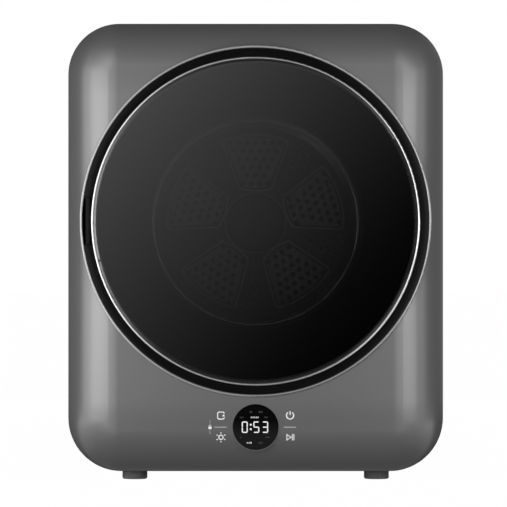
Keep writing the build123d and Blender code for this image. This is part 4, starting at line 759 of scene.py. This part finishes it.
def scatter(name, shape_mesh, places, turns, body, material, stretches=None, share=1.0):
    """Sets the shape on every point and keeps the result as one mesh on the body."""
    shape_object = bpy.data.objects.new(name + "_shape", shape_mesh)
    tree, sizes = start_tree(name + "_on_points", Stretch_share=1.0)
    shape = add_node(tree, "GeometryNodeObjectInfo", Object=shape_object)
    stretch = calculate(tree, "MULTIPLY", read_attribute(tree, "stretch"), sizes["Stretch share"])
    turn = add_node(tree, "ShaderNodeCombineXYZ", Y=read_attribute(tree, "turn"))
    size = add_node(tree, "ShaderNodeCombineXYZ", X=stretch, Y=1.0, Z=1.0)
    setting = add_node(
        tree, "GeometryNodeInstanceOnPoints", Points=sizes["Geometry"],
        Instance=shape.outputs["Geometry"], Rotation=turn.outputs[0], Scale=size.outputs[0],
    )
    finish_tree(tree, setting.outputs["Instances"], material)
    points = marked_points(name + "_points", places, turns, stretches or [1.0] * len(places))
    piece = bake_tree(name, points, tree, {"Stretch share": share}, body, material)
    bpy.data.objects.remove(shape_object)
    return piece


# %% [markdown]
# The clock has seven-segment digits. One small bar of unit length with pointed ends is made, and
# the tree sets it once for each lit segment, turned upright where needed and stretched to the
# segment's length, a little over, so that neighbours meet at the corners.

# %% Seven-segment digits
segment_places = {
    "a": (0.5, 1.0, 0.0),
    "b": (1.0, 0.75, 90.0),
    "c": (1.0, 0.25, 90.0),
    "d": (0.5, 0.0, 0.0),
    "e": (0.0, 0.25, 90.0),
    "f": (0.0, 0.75, 90.0),
    "g": (0.5, 0.5, 0.0),
}
lit_segments = {"0": "abcdef", "5": "acdfg", "3": "abcdg"}
digit_lefts = {"0": -17.3, "5": -2.3, "3": 9.2}
digit_width = 6.3
digit_height = 13.4
segment_width = 1.55
segment_thickness = 0.1 * MM
segment_overlap = 1.06


def bar_mesh():
    """A bar of unit length along X with pointed ends and a width of its own."""
    half = segment_width * MM / 2
    tip = 0.5
    shoulder = 0.36
    outline = [(-tip, 0), (-shoulder, -1), (shoulder, -1), (tip, 0), (shoulder, 1), (-shoulder, 1)]
    corners = [(x, y, z * half) for y in (-segment_thickness, 0.0) for x, z in outline]
    count = len(outline)
    faces = [tuple(range(count)), tuple(reversed(range(count, 2 * count)))]
    for index in range(count):
        following = (index + 1) % count
        faces.append((following, index, index + count, following + count))
    mesh = bpy.data.meshes.new("segment_bar")
    mesh.from_pydata(corners, [], faces)
    turn_outwards(mesh)
    return mesh


segment_spots = []
segment_turns = []
segment_lengths = []
for digit, segments in lit_segments.items():
    for letter in segments:
        across, up, turn = segment_places[letter]
        x = digit_lefts[digit] + digit_width * across
        z = digit_height * (up - 0.5)
        segment_spots.append((x * MM, y_lens_front, display_z + z * MM))
        segment_turns.append(math.radians(turn))
        segment_lengths.append((digit_height / 2 if turn else digit_width) * MM)
scatter(
    "clock_digits", bar_mesh(), segment_spots, segment_turns, "casing", digit_light,
    segment_lengths, segment_overlap,
)

# %% [markdown]
# Around the digits stand the colon and two lit marks. The marks that are off show only as
# faint shapes in the smoked lens, so they are dark grey bars without light.

# %% Colon and small marks


def lens_y(z):
    """The lens is flat: its front at every height."""
    return y_lens_front


def small_bar(x, z, width, height):
    """A rectangle about a point, in millimetres."""
    half_wide = width / 2
    half_high = height / 2
    return [
        (x - half_wide, z - half_high),
        (x + half_wide, z - half_high),
        (x + half_wide, z + half_high),
        (x - half_wide, z + half_high),
    ]


colon = [arc((-6.3, 3.2), 1.35, 0, 330, 11), arc((-6.3, -2.6), 1.35, 0, 330, 11)]
lit_marks = [small_bar(-5.6 + 2.2 * step, 12.7, 1.3, 2.0) for step in range(5)]
lit_marks += [small_bar(-10.6, -20.3, 1.5, 2.0), small_bar(-8.4, -20.3, 1.0, 2.2)]
lit_marks += [small_bar(-6.2, -20.3, 1.7, 2.6)]
dark_marks = [small_bar(-6.2, 19.6, 3.4, 2.6), small_bar(6.4, 19.6, 5.0, 2.6)]
dark_marks += [small_bar(-18.2, 12.6, 4.6, 2.0), small_bar(13.4, 12.6, 4.4, 2.0)]
dark_marks += [small_bar(-19.4, -13.2, 2.0, 2.0), small_bar(15.4, -13.2, 6.0, 2.0)]
dark_marks += [small_bar(6.2, -20.3, 5.6, 2.4)]
mark_thickness = 0.1 * MM
printed("clock_colon", colon, digit_light, lens_y, mark_thickness)
printed("clock_marks", lit_marks, mark_light, lens_y, mark_thickness)
printed("clock_marks_off", dark_marks, unlit_mark, lens_y, mark_thickness / 2)

# %% [markdown]
# The lint filter's petals have a raised rim painted pale, a painted highlight, and inside it a
# dark bead that is painted shade in the groove there; the hub stands in a fine ring with the same
# painted highlight. Each of them is a bead that follows an outline, so first comes the outline of
# a petal: straight sides that spread outwards, a shallow point at the hub and an arched outer end.

# %% Outline of a petal
filter_radius = (filter_high.x - filter_low.x) / 2
petal_inner_radius = 45.0 * MM
petal_outer_radius = filter_radius - 9.0 * MM
petal_half_width = 22.0 * MM
petal_side_slope = math.tan(math.radians(20.6))
petal_corner_cosine = math.cos(math.radians(22.0))
petal_point = 3.0 * MM
petal_end_steps = 14
petal_count = 5


def petal_outline(inset):
    """Corners of a petal about the hub's centre, drawn in by the inset."""
    inner = petal_inner_radius + inset
    outer = petal_outer_radius - inset
    corner_up = outer * petal_corner_cosine
    half_inner = petal_half_width - inset * 0.7
    half_outer = half_inner + (corner_up - inner) * petal_side_slope
    corner_turn = math.atan2(half_outer, corner_up)
    corner_reach = math.hypot(half_outer, corner_up)
    points = [(-half_inner, inner)]
    for step in range(petal_end_steps + 1):
        share = step / petal_end_steps * 2 - 1
        reach = outer + (corner_reach - outer) * share * share
        points.append((reach * math.sin(corner_turn * share), reach * math.cos(corner_turn * share)))
    points.append((half_inner, inner))
    points.append((0.0, inner - petal_point))
    return points


print("petal from radius", petal_inner_radius, "to", round(petal_outer_radius, 4))

# %% [markdown]
# The tree rounds the corners of the outline, sweeps a small circle along it and makes the copies
# by their number: every copy turns by its share of a full turn. The pale rims, the dark beads of
# painted shade and the hub's ring run the same tree with other sizes.

# %% Beads along the petals and round the hub


def bead(name, outline, material, bead_radius, corner_radius, copies, y):
    """Sweeps a bead along a closed outline and repeats it about the hub."""
    tree, sizes = start_tree(
        name + "_beads", Bead_radius=0.8 * MM, Corner_radius=5.0 * MM, Copies=1, Hub_place=(0.0, 0.0, 0.0),
    )
    to_curve = add_node(tree, "GeometryNodeMeshToCurve", Mesh=sizes["Geometry"])
    rounded = tree.nodes.new("GeometryNodeFilletCurve")
    rounded.mode = "POLY"
    put(rounded.inputs["Curve"], to_curve.outputs["Curve"])
    put(rounded.inputs["Radius"], sizes["Corner radius"])
    put(rounded.inputs["Count"], 3)
    put(rounded.inputs["Limit Radius"], True)
    profile = add_node(
        tree, "GeometryNodeCurvePrimitiveCircle", Resolution=8, Radius=sizes["Bead radius"],
    )
    sweep = add_node(
        tree, "GeometryNodeCurveToMesh", Curve=rounded.outputs["Curve"],
        Profile_Curve=profile.outputs["Curve"],
    )
    places = add_node(
        tree, "GeometryNodePoints", Count=sizes["Copies"], Position=sizes["Hub place"],
    )
    index = tree.nodes.new("GeometryNodeInputIndex").outputs["Index"]
    share = calculate(tree, "DIVIDE", math.tau, sizes["Copies"])
    turn = add_node(tree, "ShaderNodeCombineXYZ", Y=calculate(tree, "MULTIPLY", index, share))
    on_points = add_node(
        tree, "GeometryNodeInstanceOnPoints", Points=places.outputs["Points"],
        Instance=sweep.outputs["Mesh"], Rotation=turn.outputs["Vector"],
    )
    finish_tree(tree, on_points.outputs["Instances"], material)
    line = bpy.data.meshes.new(name + "_line")
    count = len(outline)
    steps = [(start, (start + 1) % count) for start in range(count)]
    line.from_pydata([(x, 0.0, z) for x, z in outline], steps, [])
    values = {
        "Bead radius": bead_radius,
        "Corner radius": corner_radius,
        "Copies": copies,
        "Hub place": (0.0, y, door_z),
    }
    bake_tree(name, line, tree, values, "filter", material)


# The pale grey paints a highlight on the rims, the hub's ring and the hole collars; the near-black paints
# the shade in the groove inside each rim.
rim_grey = moulded("rim_grey", (0.42, 0.42, 0.425), 0.4, 0.000005)
seam_black = moulded("seam_black", grey(0.012), 0.6, 0.000005)
rim_inset = 0.8 * MM
shade_inset = 3.6 * MM
ring_radius = 41.0 * MM
rim_line = petal_outline(rim_inset)
shade_line = petal_outline(shade_inset)
ring_line = arc((0.0, 0.0), ring_radius, 0, 355, 71)
bead("petal_rims", rim_line, rim_grey, 0.9 * MM, 6.0 * MM, petal_count, y_petal)
bead("petal_seams", shade_line, seam_black, 0.8 * MM, 5.0 * MM, petal_count, y_petal)
bead("hub_ring", ring_line, rim_grey, 0.8 * MM, 1.0 * MM, 1, y_plate)

# %% [markdown]
# Every hole of the filter has a small raised collar. The holes lie in staggered rows on the
# petals and in groups of one, two and three between them. Their places follow the same rule as
# in the CAD source, so the collars meet the holes.

# %% Places of the filter's holes
hole_pitch = 11.4 * MM
row_rise = hole_pitch * 0.98
rows_short = 9.0 * MM
first_row_gap = 12.0 * MM
last_row_gap = 5.0 * MM
side_gap = 7.0 * MM
corner_gap = 11.0 * MM
petal_outer_up = petal_outer_radius * petal_corner_cosine
petal_outer_half = petal_half_width + (petal_outer_up - petal_inner_radius) * petal_side_slope
row_count = int((petal_outer_radius - petal_inner_radius - rows_short) / row_rise) + 1
petal_holes = []
for row in range(row_count):
    row_radius = petal_outer_radius - first_row_gap - row * row_rise
    half_width = petal_half_width + (row_radius - petal_inner_radius) * petal_side_slope
    reach = min(half_width - side_gap, petal_outer_half - corner_gap)
    shift = hole_pitch / 2 * (row % 2)
    steps = int((reach - shift) / hole_pitch)
    if row_radius > petal_inner_radius + last_row_gap:
        for step in range(-steps - (row % 2), steps + 1):
            petal_holes.append((step * hole_pitch + shift, row_radius))

group_rim_gaps = (51.0 * MM, 34.0 * MM, 17.5 * MM)
group_pitch = hole_pitch * 1.12
group_holes = []
for holes_before, rim_gap in enumerate(group_rim_gaps):
    group_radius = filter_radius - rim_gap
    for hole in range(holes_before + 1):
        turn = (hole - holes_before / 2) * group_pitch / group_radius
        group_holes.append((group_radius * math.sin(turn), group_radius * math.cos(turn)))


def about_hub(holes, y, offset):
    """The holes repeated about the hub, at the given depth."""
    places = []
    for index in range(petal_count):
        turn = math.tau * (index + offset) / petal_count
        for x, up in holes:
            across = x * math.cos(turn) - up * math.sin(turn)
            rise = x * math.sin(turn) + up * math.cos(turn)
            places.append((across, y, door_z + rise))
    return places


hole_places = about_hub(petal_holes, y_petal, 0.0) + about_hub(group_holes, y_plate, 0.5)
print("holes in the filter:", len(hole_places))

# %% [markdown]
# A collar is a ring of a few dozen faces, because it is repeated hundreds of times. It is made
# as a small tube bent round the hole.

# %% Collars round the filter's holes


def ring_mesh(name, ring_radius, bead_radius, segments=16, sides=6):
    """A small closed ring in the plane across Y."""
    corners = []
    faces = []
    for step in range(segments):
        turn = math.tau * step / segments
        start = step * sides
        next_start = (step + 1) % segments * sides
        for side in range(sides):
            angle = math.tau * side / sides
            reach = ring_radius + bead_radius * math.cos(angle)
            depth = bead_radius * math.sin(angle)
            corners.append((reach * math.cos(turn), depth, reach * math.sin(turn)))
            other = (side + 1) % sides
            faces.append((start + side, start + other, next_start + other, next_start + side))
    mesh = bpy.data.meshes.new(name)
    mesh.from_pydata(corners, [], faces)
    return mesh


collar_radius = 4.1 * MM
collar_bead = 0.45 * MM
collar = ring_mesh("hole_collar", collar_radius, collar_bead)
# The collars are pale grey as a painted highlight.
scatter("hole_collars", collar, hole_places, [0.0] * len(hole_places), "filter", rim_grey)

# %% [markdown]
# The screws get pan heads with a cross recess, each turned as it stopped when it was driven in.
# Their places come from the CAD screws, and the new heads stand in for those nodes. A screw node
# holds many separate screws, so its mesh is parted into islands of connected corners. They are
# sorted by place, because a set has no order of its own and the turns are drawn one by one.

# %% Places of the screws


def screw_places(name):
    """Middle, top and radius of every separate screw of a CAD node."""
    shape = bmesh.new()
    shape.from_mesh(nodes[name].data)
    bmesh.ops.remove_doubles(shape, verts=shape.verts, dist=0.000001)
    left_over = set(shape.verts)
    found = []
    while left_over:
        waiting = [left_over.pop()]
        island = list(waiting)
        while waiting:
            for edge in waiting.pop().link_edges:
                for vertex in edge.verts:
                    if vertex in left_over:
                        left_over.remove(vertex)
                        waiting.append(vertex)
                        island.append(vertex)
        xs = [vertex.co.x for vertex in island]
        zs = [vertex.co.z for vertex in island]
        top = max(vertex.co.y for vertex in island)
        found.append(((min(xs) + max(xs)) / 2, top, (min(zs) + max(zs)) / 2, (max(xs) - min(xs)) / 2))
    shape.free()
    return sorted(found)


# %% [markdown]
# A turned shape grows from rings of points. Faces join each ring to the next, and a single point
# closes a dome. The screw head ends flat, so the cross is cut there: its mouth is left open in
# the flat, and its walls taper to a smaller cross at the bottom.

# %% Screw heads with a cross recess


def skin(shape, rows):
    """Faces between each ring of points and the next, which may be a single point."""
    for low_row, high_row in zip(rows, rows[1:]):
        for step, corner in enumerate(low_row):
            following = (step + 1) % len(low_row)
            upper = high_row if len(high_row) == 1 else [high_row[following], high_row[step]]
            shape.faces.new([corner, low_row[following], *upper])


def screw_head(radius, height):
    """A pan head that faces the back, with a tapered cross recess."""
    shape = bmesh.new()
    segments = 24
    profile = ((1.0, -1.0), (1.0, -0.45), (0.94, -0.20), (0.83, -0.05), (0.72, 0.0))
    rows = []
    for share, level in profile:
        reach = radius * share
        row = []
        for step in range(segments):
            angle = math.tau * step / segments
            corner = (reach * math.cos(angle), height * level, reach * math.sin(angle))
            row.append(shape.verts.new(corner))
        rows.append(row)
    skin(shape, rows)
    shape.faces.new(rows[0])
    arm = 0.13 * radius
    tip = 0.52 * radius
    quarter = [(tip, arm), (arm, arm), (arm, tip)]
    half = quarter + [(-x, z) for x, z in reversed(quarter)]
    cross = half + [(-x, -z) for x, z in half]
    mouth = [shape.verts.new((x, 0.0, z)) for x, z in cross]
    bottom = [shape.verts.new((x * 0.7, -0.6 * height, z * 0.7)) for x, z in cross]
    skin(shape, [mouth, bottom])
    shape.faces.new(bottom)
    border = [edge for edge in shape.edges if len(edge.link_faces) == 1]
    bmesh.ops.triangle_fill(shape, edges=border, use_beauty=True)
    return close_shape(shape, "screw_head")


head_height = 2.2 * MM
random.seed(7)
for screws, body in (("case_screws", "casing"), ("door_screws", "door")):
    heads = screw_places(screws)
    head_shape = screw_head(heads[0][3], head_height)
    spots = [head[:3] for head in heads]
    head_turns = [random.uniform(0.0, math.tau) for head in heads]
    head_piece = scatter(screws + "_heads", head_shape, spots, head_turns, body, screw_steel)
    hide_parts(screws)

# %% [markdown]
# A stainless drum is stamped with rows of shallow dimples, which keep the clothes moving. They
# are low domes on its inner wall, staggered from row to row.

# %% Dimples of the drum


def dome(name, radius, height, inwards, segments):
    """A low dome that stands along one direction."""
    shape = bmesh.new()
    side = inwards.orthogonal().normalized()
    other = inwards.cross(side)
    rows = []
    for share, level in ((1.0, -0.5), (0.86, 0.35), (0.5, 0.85)):
        row = []
        for step in range(segments):
            angle = math.tau * step / segments
            reach = (side * math.cos(angle) + other * math.sin(angle)) * (radius * share)
            row.append(shape.verts.new(inwards * (height * level) + reach))
        rows.append(row)
    rows.append([shape.verts.new(inwards * height)])
    skin(shape, rows)
    shape.faces.new(rows[0])
    return close_shape(shape, name)


dimple_radius = 3.4 * MM
dimple_height = 0.8 * MM
dimple_segments = 12
wall_inset = 2.2 * MM
inwards = Vector((-1.0, 0.0, 0.0))
dimple = dome("drum_dimple", dimple_radius, dimple_height, inwards, dimple_segments)
drum_wall_radius = (drum_high.x - drum_low.x) / 2 - wall_inset
dimple_rows = 8
dimples_round = 40
dimple_margin = 30.0 * MM
row_step = (drum_high.y - drum_low.y - 2 * dimple_margin) / (dimple_rows - 1)
dimple_places = []
dimple_turns = []
for row in range(dimple_rows):
    y = drum_low.y + dimple_margin + row * row_step
    for place in range(dimples_round):
        angle = math.tau * (place + 0.5 * (row % 2)) / dimples_round
        x = drum_wall_radius * math.cos(angle)
        dimple_places.append((x, y, door_z + drum_wall_radius * math.sin(angle)))
        dimple_turns.append(-angle)
scatter("drum_dimples", dimple, dimple_places, dimple_turns, "drum", drum_stainless)

# %% [markdown]
# The background is white for the camera, for mirrors and through glass, while the floor itself
# stays grey for the light that falls on it, so that it keeps a faint shadow and doesn't light
# the dryer. The Light Path node tells the two apart, and the world does the same below.

# %% Floor and backdrop


def looked_at(tree):
    """1 where the camera, a mirror or glass looks, and 0 for light that falls on things."""
    path = tree.nodes.new("ShaderNodeLightPath").outputs
    direct = calculate(tree, "MAXIMUM", path["Is Camera Ray"], path["Is Glossy Ray"])
    return calculate(tree, "MAXIMUM", direct, path["Is Transmission Ray"])


def two_faced(tree, share, lighting, look, output):
    """Shows one shader where it is looked at, and lights with another."""
    blend = add_node(tree, "ShaderNodeMixShader", Fac=share)
    put(blend.inputs[1], lighting)
    put(blend.inputs[2], look)
    put(output.inputs["Surface"], blend.outputs["Shader"])


def sheet_mesh(name, corners, material):
    """A flat mesh of one face."""
    mesh = bpy.data.meshes.new(name)
    mesh.from_pydata(corners, [], [(0, 1, 2, 3)])
    mesh.materials.append(material)
    return mesh


floor_material, floor_tree, floor_shader = new_finish("studio_floor", grey(0.60), 0.9)
floor_white = floor_tree.nodes.new("ShaderNodeEmission")
floor_share = calculate(floor_tree, "MULTIPLY", looked_at(floor_tree), 0.99)
floor_output = floor_tree.nodes["Material Output"]
two_faced(
    floor_tree, floor_share, floor_shader.outputs["BSDF"], floor_white.outputs["Emission"], floor_output,
)
floor_half = 30.0
floor_corners = [(-floor_half, -floor_half, 0), (floor_half, -floor_half, 0)]
floor_corners += [(floor_half, floor_half, 0), (-floor_half, floor_half, 0)]
floor = new_object("floor", sheet_mesh("floor", floor_corners, floor_material))
print("floor made")

# %% [markdown]
# The world is white where the camera or a mirror looks at it, and a weaker even light for
# everything else.

# %% World
world = bpy.data.worlds.new("studio")
bpy.context.scene.world = world
world.use_nodes = True
world_tree = world.node_tree
ambient = world_tree.nodes["Background"]
put(ambient.inputs["Color"], white)
put(ambient.inputs["Strength"], 0.35)
backdrop = add_node(world_tree, "ShaderNodeBackground", Color=white, Strength=1.0)
world_output = world_tree.nodes["World Output"]
two_faced(
    world_tree, looked_at(world_tree), ambient.outputs["Background"],
    backdrop.outputs["Background"], world_output,
)
print("world made")

# %% [markdown]
# A photographer shoots a glossy dark appliance in a tent of grey cloth, so that it mirrors calm
# walls. The tent stands close round the dryer and the camera looks in through its front, so it
# doesn't see the cloth. Sides, top and back glow evenly, each at its own level.

# %% Cloth tent
tent_half = 1.7
tent_front = -2.8
tent_back = 4.0
tent_top = 2.6
ground_gap = 0.002


def glowing(name):
    """A material that only glows, with its tree and its Emission node."""
    material, tree, _ = new_finish(name, grey(0.1), 1.0)
    glow = tree.nodes.new("ShaderNodeEmission")
    put(tree.nodes["Material Output"].inputs["Surface"], glow.outputs["Emission"])
    return material, tree, glow


def plain_cloth(name, level):
    """Cloth that glows evenly."""
    material, _, glow = glowing(name)
    put(glow.inputs["Color"], (*grey(level), 1.0))
    return material


def upright(first, second, foot=0.0):
    """Corners of a sheet that stands between two places on the ground."""
    return [(*first, foot), (*second, foot), (*second, tent_top), (*first, tent_top)]


def lying(front, back, height):
    """Corners of a level sheet as wide as the tent."""
    front_side = [(-tent_half, front, height), (tent_half, front, height)]
    return front_side + [(tent_half, back, height), (-tent_half, back, height)]


def cloth(name, corners, material):
    """A flat cloth that lights and is mirrored, and that the camera sees through."""
    sheet = new_object(name, sheet_mesh(name, corners, material))
    sheet.visible_camera = False
    sheet.visible_shadow = False


left_front = (-tent_half, tent_front)
left_back = (-tent_half, tent_back)
right_front = (tent_half, tent_front)
right_back = (tent_half, tent_back)
back_cloth = plain_cloth("back_cloth", 0.06)
cloth("cloth_left", upright(left_front, left_back), plain_cloth("left_cloth", 0.10))
cloth("cloth_right", upright(right_front, right_back), plain_cloth("right_cloth", 0.28))
cloth("cloth_top", lying(tent_front, tent_back, tent_top), plain_cloth("top_cloth", 0.15))
cloth("cloth_back", upright(left_back, right_back), back_cloth)
print("tent", 2 * tent_half, "wide and", tent_top, "high")

# %% [markdown]
# The front cloth is lighter at the upper left, which gives the black glass its soft slope of
# brightness, and it is dimmed above the dryer. The floor cloth before the dryer is brighter at
# its sides than in the middle, so it lifts the flanks, and it is dimmed at the far right.

# %% Front cloth and floor cloth
floor_cloth_back = -0.14
to_upper_left = (-1.387, 0.0, 1.197)
dark_end = -0.145
bright_end = 1.055
fade_start = 0.68
fade_end = 0.95

front_cloth, front_tree, front_glow = glowing("front_cloth")
slope = front_tree.nodes.new("ShaderNodeVectorMath")
slope.operation = "DOT_PRODUCT"
put(slope.inputs[0], own_place(front_tree))
put(slope.inputs[1], to_upper_left)
rise = ranged(front_tree, slope.outputs["Value"], dark_end, bright_end, 0.0, 1.0)
bend = calculate(front_tree, "POWER", rise, 2.0)
fade = ranged(front_tree, own_axis(front_tree, "Z"), fade_start, fade_end, 1.08, 0.12)
put(front_glow.inputs["Strength"], calculate(front_tree, "MULTIPLY", bend, fade))
cloth("cloth_front", upright(left_front, right_front), front_cloth)

side_start = 0.23
side_full = 0.58
outer_start = 0.60
outer_end = 1.10
right_start = 0.70
right_end = 1.05

floor_cloth, sheet_tree, sheet_glow = glowing("floor_cloth")
across = own_axis(sheet_tree, "X")
from_middle = calculate(sheet_tree, "ABSOLUTE", across)
to_the_right = calculate(sheet_tree, "SUBTRACT", across, own_axis(sheet_tree, "Y"))
side_level = ranged(sheet_tree, from_middle, side_start, side_full, 0.25, 2.6)
outer_level = ranged(sheet_tree, from_middle, outer_start, outer_end, 1.0, 0.15)
right_level = ranged(sheet_tree, to_the_right, right_start, right_end, 1.0, 0.30)
both_sides = calculate(sheet_tree, "MULTIPLY", side_level, outer_level)
put(sheet_glow.inputs["Strength"], calculate(sheet_tree, "MULTIPLY", both_sides, right_level))
cloth("cloth_floor", lying(tent_front, floor_cloth_back, ground_gap), floor_cloth)
cloth("cloth_floor_back", lying(floor_cloth_back, tent_back, ground_gap), back_cloth)
print("front cloth and floor cloth made")

# %% [markdown]
# The bright bands on the rounded sides are the mirror images of two tall light walls, one on
# each side in front of the dryer. They get dimmer towards the top, so the bands fade out along
# the upper corners. Narrow walls beside them carry the bands on round the sides.

# %% Light walls
wall_levels = {0.12: 0.97, 0.26: 0.80, 0.38: 0.54, 0.50: 0.27, 0.70: 0.08}
wall_top_level = 0.03
wall_foot = 0.003


def ground_spot(azimuth, distance):
    """A place on the ground, its azimuth in degrees to the right of straight in front."""
    turn = math.radians(azimuth)
    return Vector((distance * math.sin(turn), -distance * math.cos(turn)))


def light_wall(name, azimuth, distance, width, radiance):
    """A tall glowing sheet that faces the dryer and gets dimmer towards its top."""
    material, tree, glow = glowing(name + "_glow")
    height = ranged(tree, own_axis(tree, "Z"), 0.0, tent_top, 0.0, 1.0)
    fall = add_node(tree, "ShaderNodeValToRGB", Fac=height)
    fall.color_ramp.interpolation = "B_SPLINE"
    fall.color_ramp.elements[0].color = white
    fall.color_ramp.elements[1].color = (*grey(wall_top_level), 1.0)
    for position, level in wall_levels.items():
        fall.color_ramp.elements.new(position).color = (*grey(level), 1.0)
    put(glow.inputs["Color"], fall.outputs["Color"])
    put(glow.inputs["Strength"], radiance)
    along = ground_spot(azimuth + 90.0, width / 2)
    middle = ground_spot(azimuth, distance)
    cloth(name, upright(middle - along, middle + along, wall_foot), material)


light_wall("wall_left", -38.0, 2.0, 1.65, 6.1)
light_wall("wall_right", 27.5, 2.0, 0.98, 5.0)
light_wall("wall_left_side", -65.0, 1.5, 0.42, 3.4)
light_wall("wall_right_side", 56.0, 1.5, 0.42, 2.2)
print("light walls made")

# %% [markdown]
# A shiny studio floor would mirror the foot of each light wall towards the dryer. An apron on
# the floor stands for that mirror image: it is brightest at the wall and fades towards the dryer,
# so the bands fade out softly round the lower corners.

# %% Aprons before the light walls
apron_near = 0.7
apron_far = 2.0
apron_height = 0.004


def light_apron(name, first_azimuth, last_azimuth, near_radiance, far_radiance):
    """A glowing sector of the floor, from near the dryer to the foot of a light wall."""
    material, tree, glow = glowing(name + "_glow")
    reach = tree.nodes.new("ShaderNodeVectorMath")
    reach.operation = "LENGTH"
    put(reach.inputs[0], own_place(tree))
    radiance = ranged(
        tree, reach.outputs["Value"], apron_near, apron_far, near_radiance, far_radiance,
    )
    put(glow.inputs["Strength"], radiance)
    near_side = [ground_spot(first_azimuth, apron_near), ground_spot(last_azimuth, apron_near)]
    far_side = [ground_spot(last_azimuth, apron_far), ground_spot(first_azimuth, apron_far)]
    cloth(name, [(*spot, apron_height) for spot in near_side + far_side], material)


light_apron("apron_left", -56.0, -18.0, 1.9, 5.4)
light_apron("apron_right", 14.0, 39.0, 0.4, 4.6)
print("aprons made")

# %% [markdown]
# Two tiny lamps inside the drum bring out the lint filter behind the dark glass: one lights the
# upper right of the drum's wall, the other shines evenly on the filter. The rear cover would
# stand in the dark, because the tent is dim behind the dryer, so a wide soft lamp lights the
# back. Mirrors don't see that one, so it leaves no bright line along the edges.

# %% Lamps
drum_edge_lamp = bpy.data.lights.new("drum_edge_lamp", "POINT")
drum_edge_lamp.energy = 0.018
drum_edge_lamp.shadow_soft_size = 0.02
drum_even_lamp = bpy.data.lights.new("drum_even_lamp", "AREA")
drum_even_lamp.energy = 0.036
drum_even_lamp.shape = "DISK"
drum_even_lamp.size = 0.16
rear_lamp = bpy.data.lights.new("rear_lamp", "AREA")
rear_lamp.energy = 80.0
rear_lamp.shape = "RECTANGLE"
rear_lamp.size = 3.0
rear_lamp.size_y = 1.8


def hang_lamp(lamp, place, tilt):
    """Hangs a lamp where the camera doesn't see it, tilted about X from looking down."""
    holder = new_object(lamp.name, lamp)
    holder.location = place
    holder.rotation_euler = (math.radians(tilt), 0.0, 0.0)
    holder.visible_camera = False
    return holder


hang_lamp(drum_edge_lamp, (0.10, drum_low.y + 0.12, door_z + 0.13), 90.0)
hang_lamp(drum_even_lamp, (0.0, drum_low.y + 0.09, door_z), 90.0)
rear_holder = hang_lamp(rear_lamp, (0.0, cad_high.y + 3.0, 0.9), -90.0)
rear_holder.visible_glossy = False
print("lamps in the drum and behind the dryer")

# %% [markdown]
# The camera stands six metres in front of the collar with a long lens, as the photo's small
# perspective asks, level and square to the front.

# %% Camera
camera_data = bpy.data.cameras.new("camera")
camera_data.sensor_width = 36.0
camera_data.lens = 328.8
camera_data.clip_end = 100.0
camera = new_object("camera", camera_data)
camera.location = (-0.0028, cad_low.y - 6.0, 0.2966)
camera.rotation_euler = (math.radians(90.0), 0.0, 0.0)
bpy.context.scene.camera = camera
bpy.context.scene.view_settings.view_transform = "Standard"
print("camera", round(camera_data.lens, 1), "mm lens")
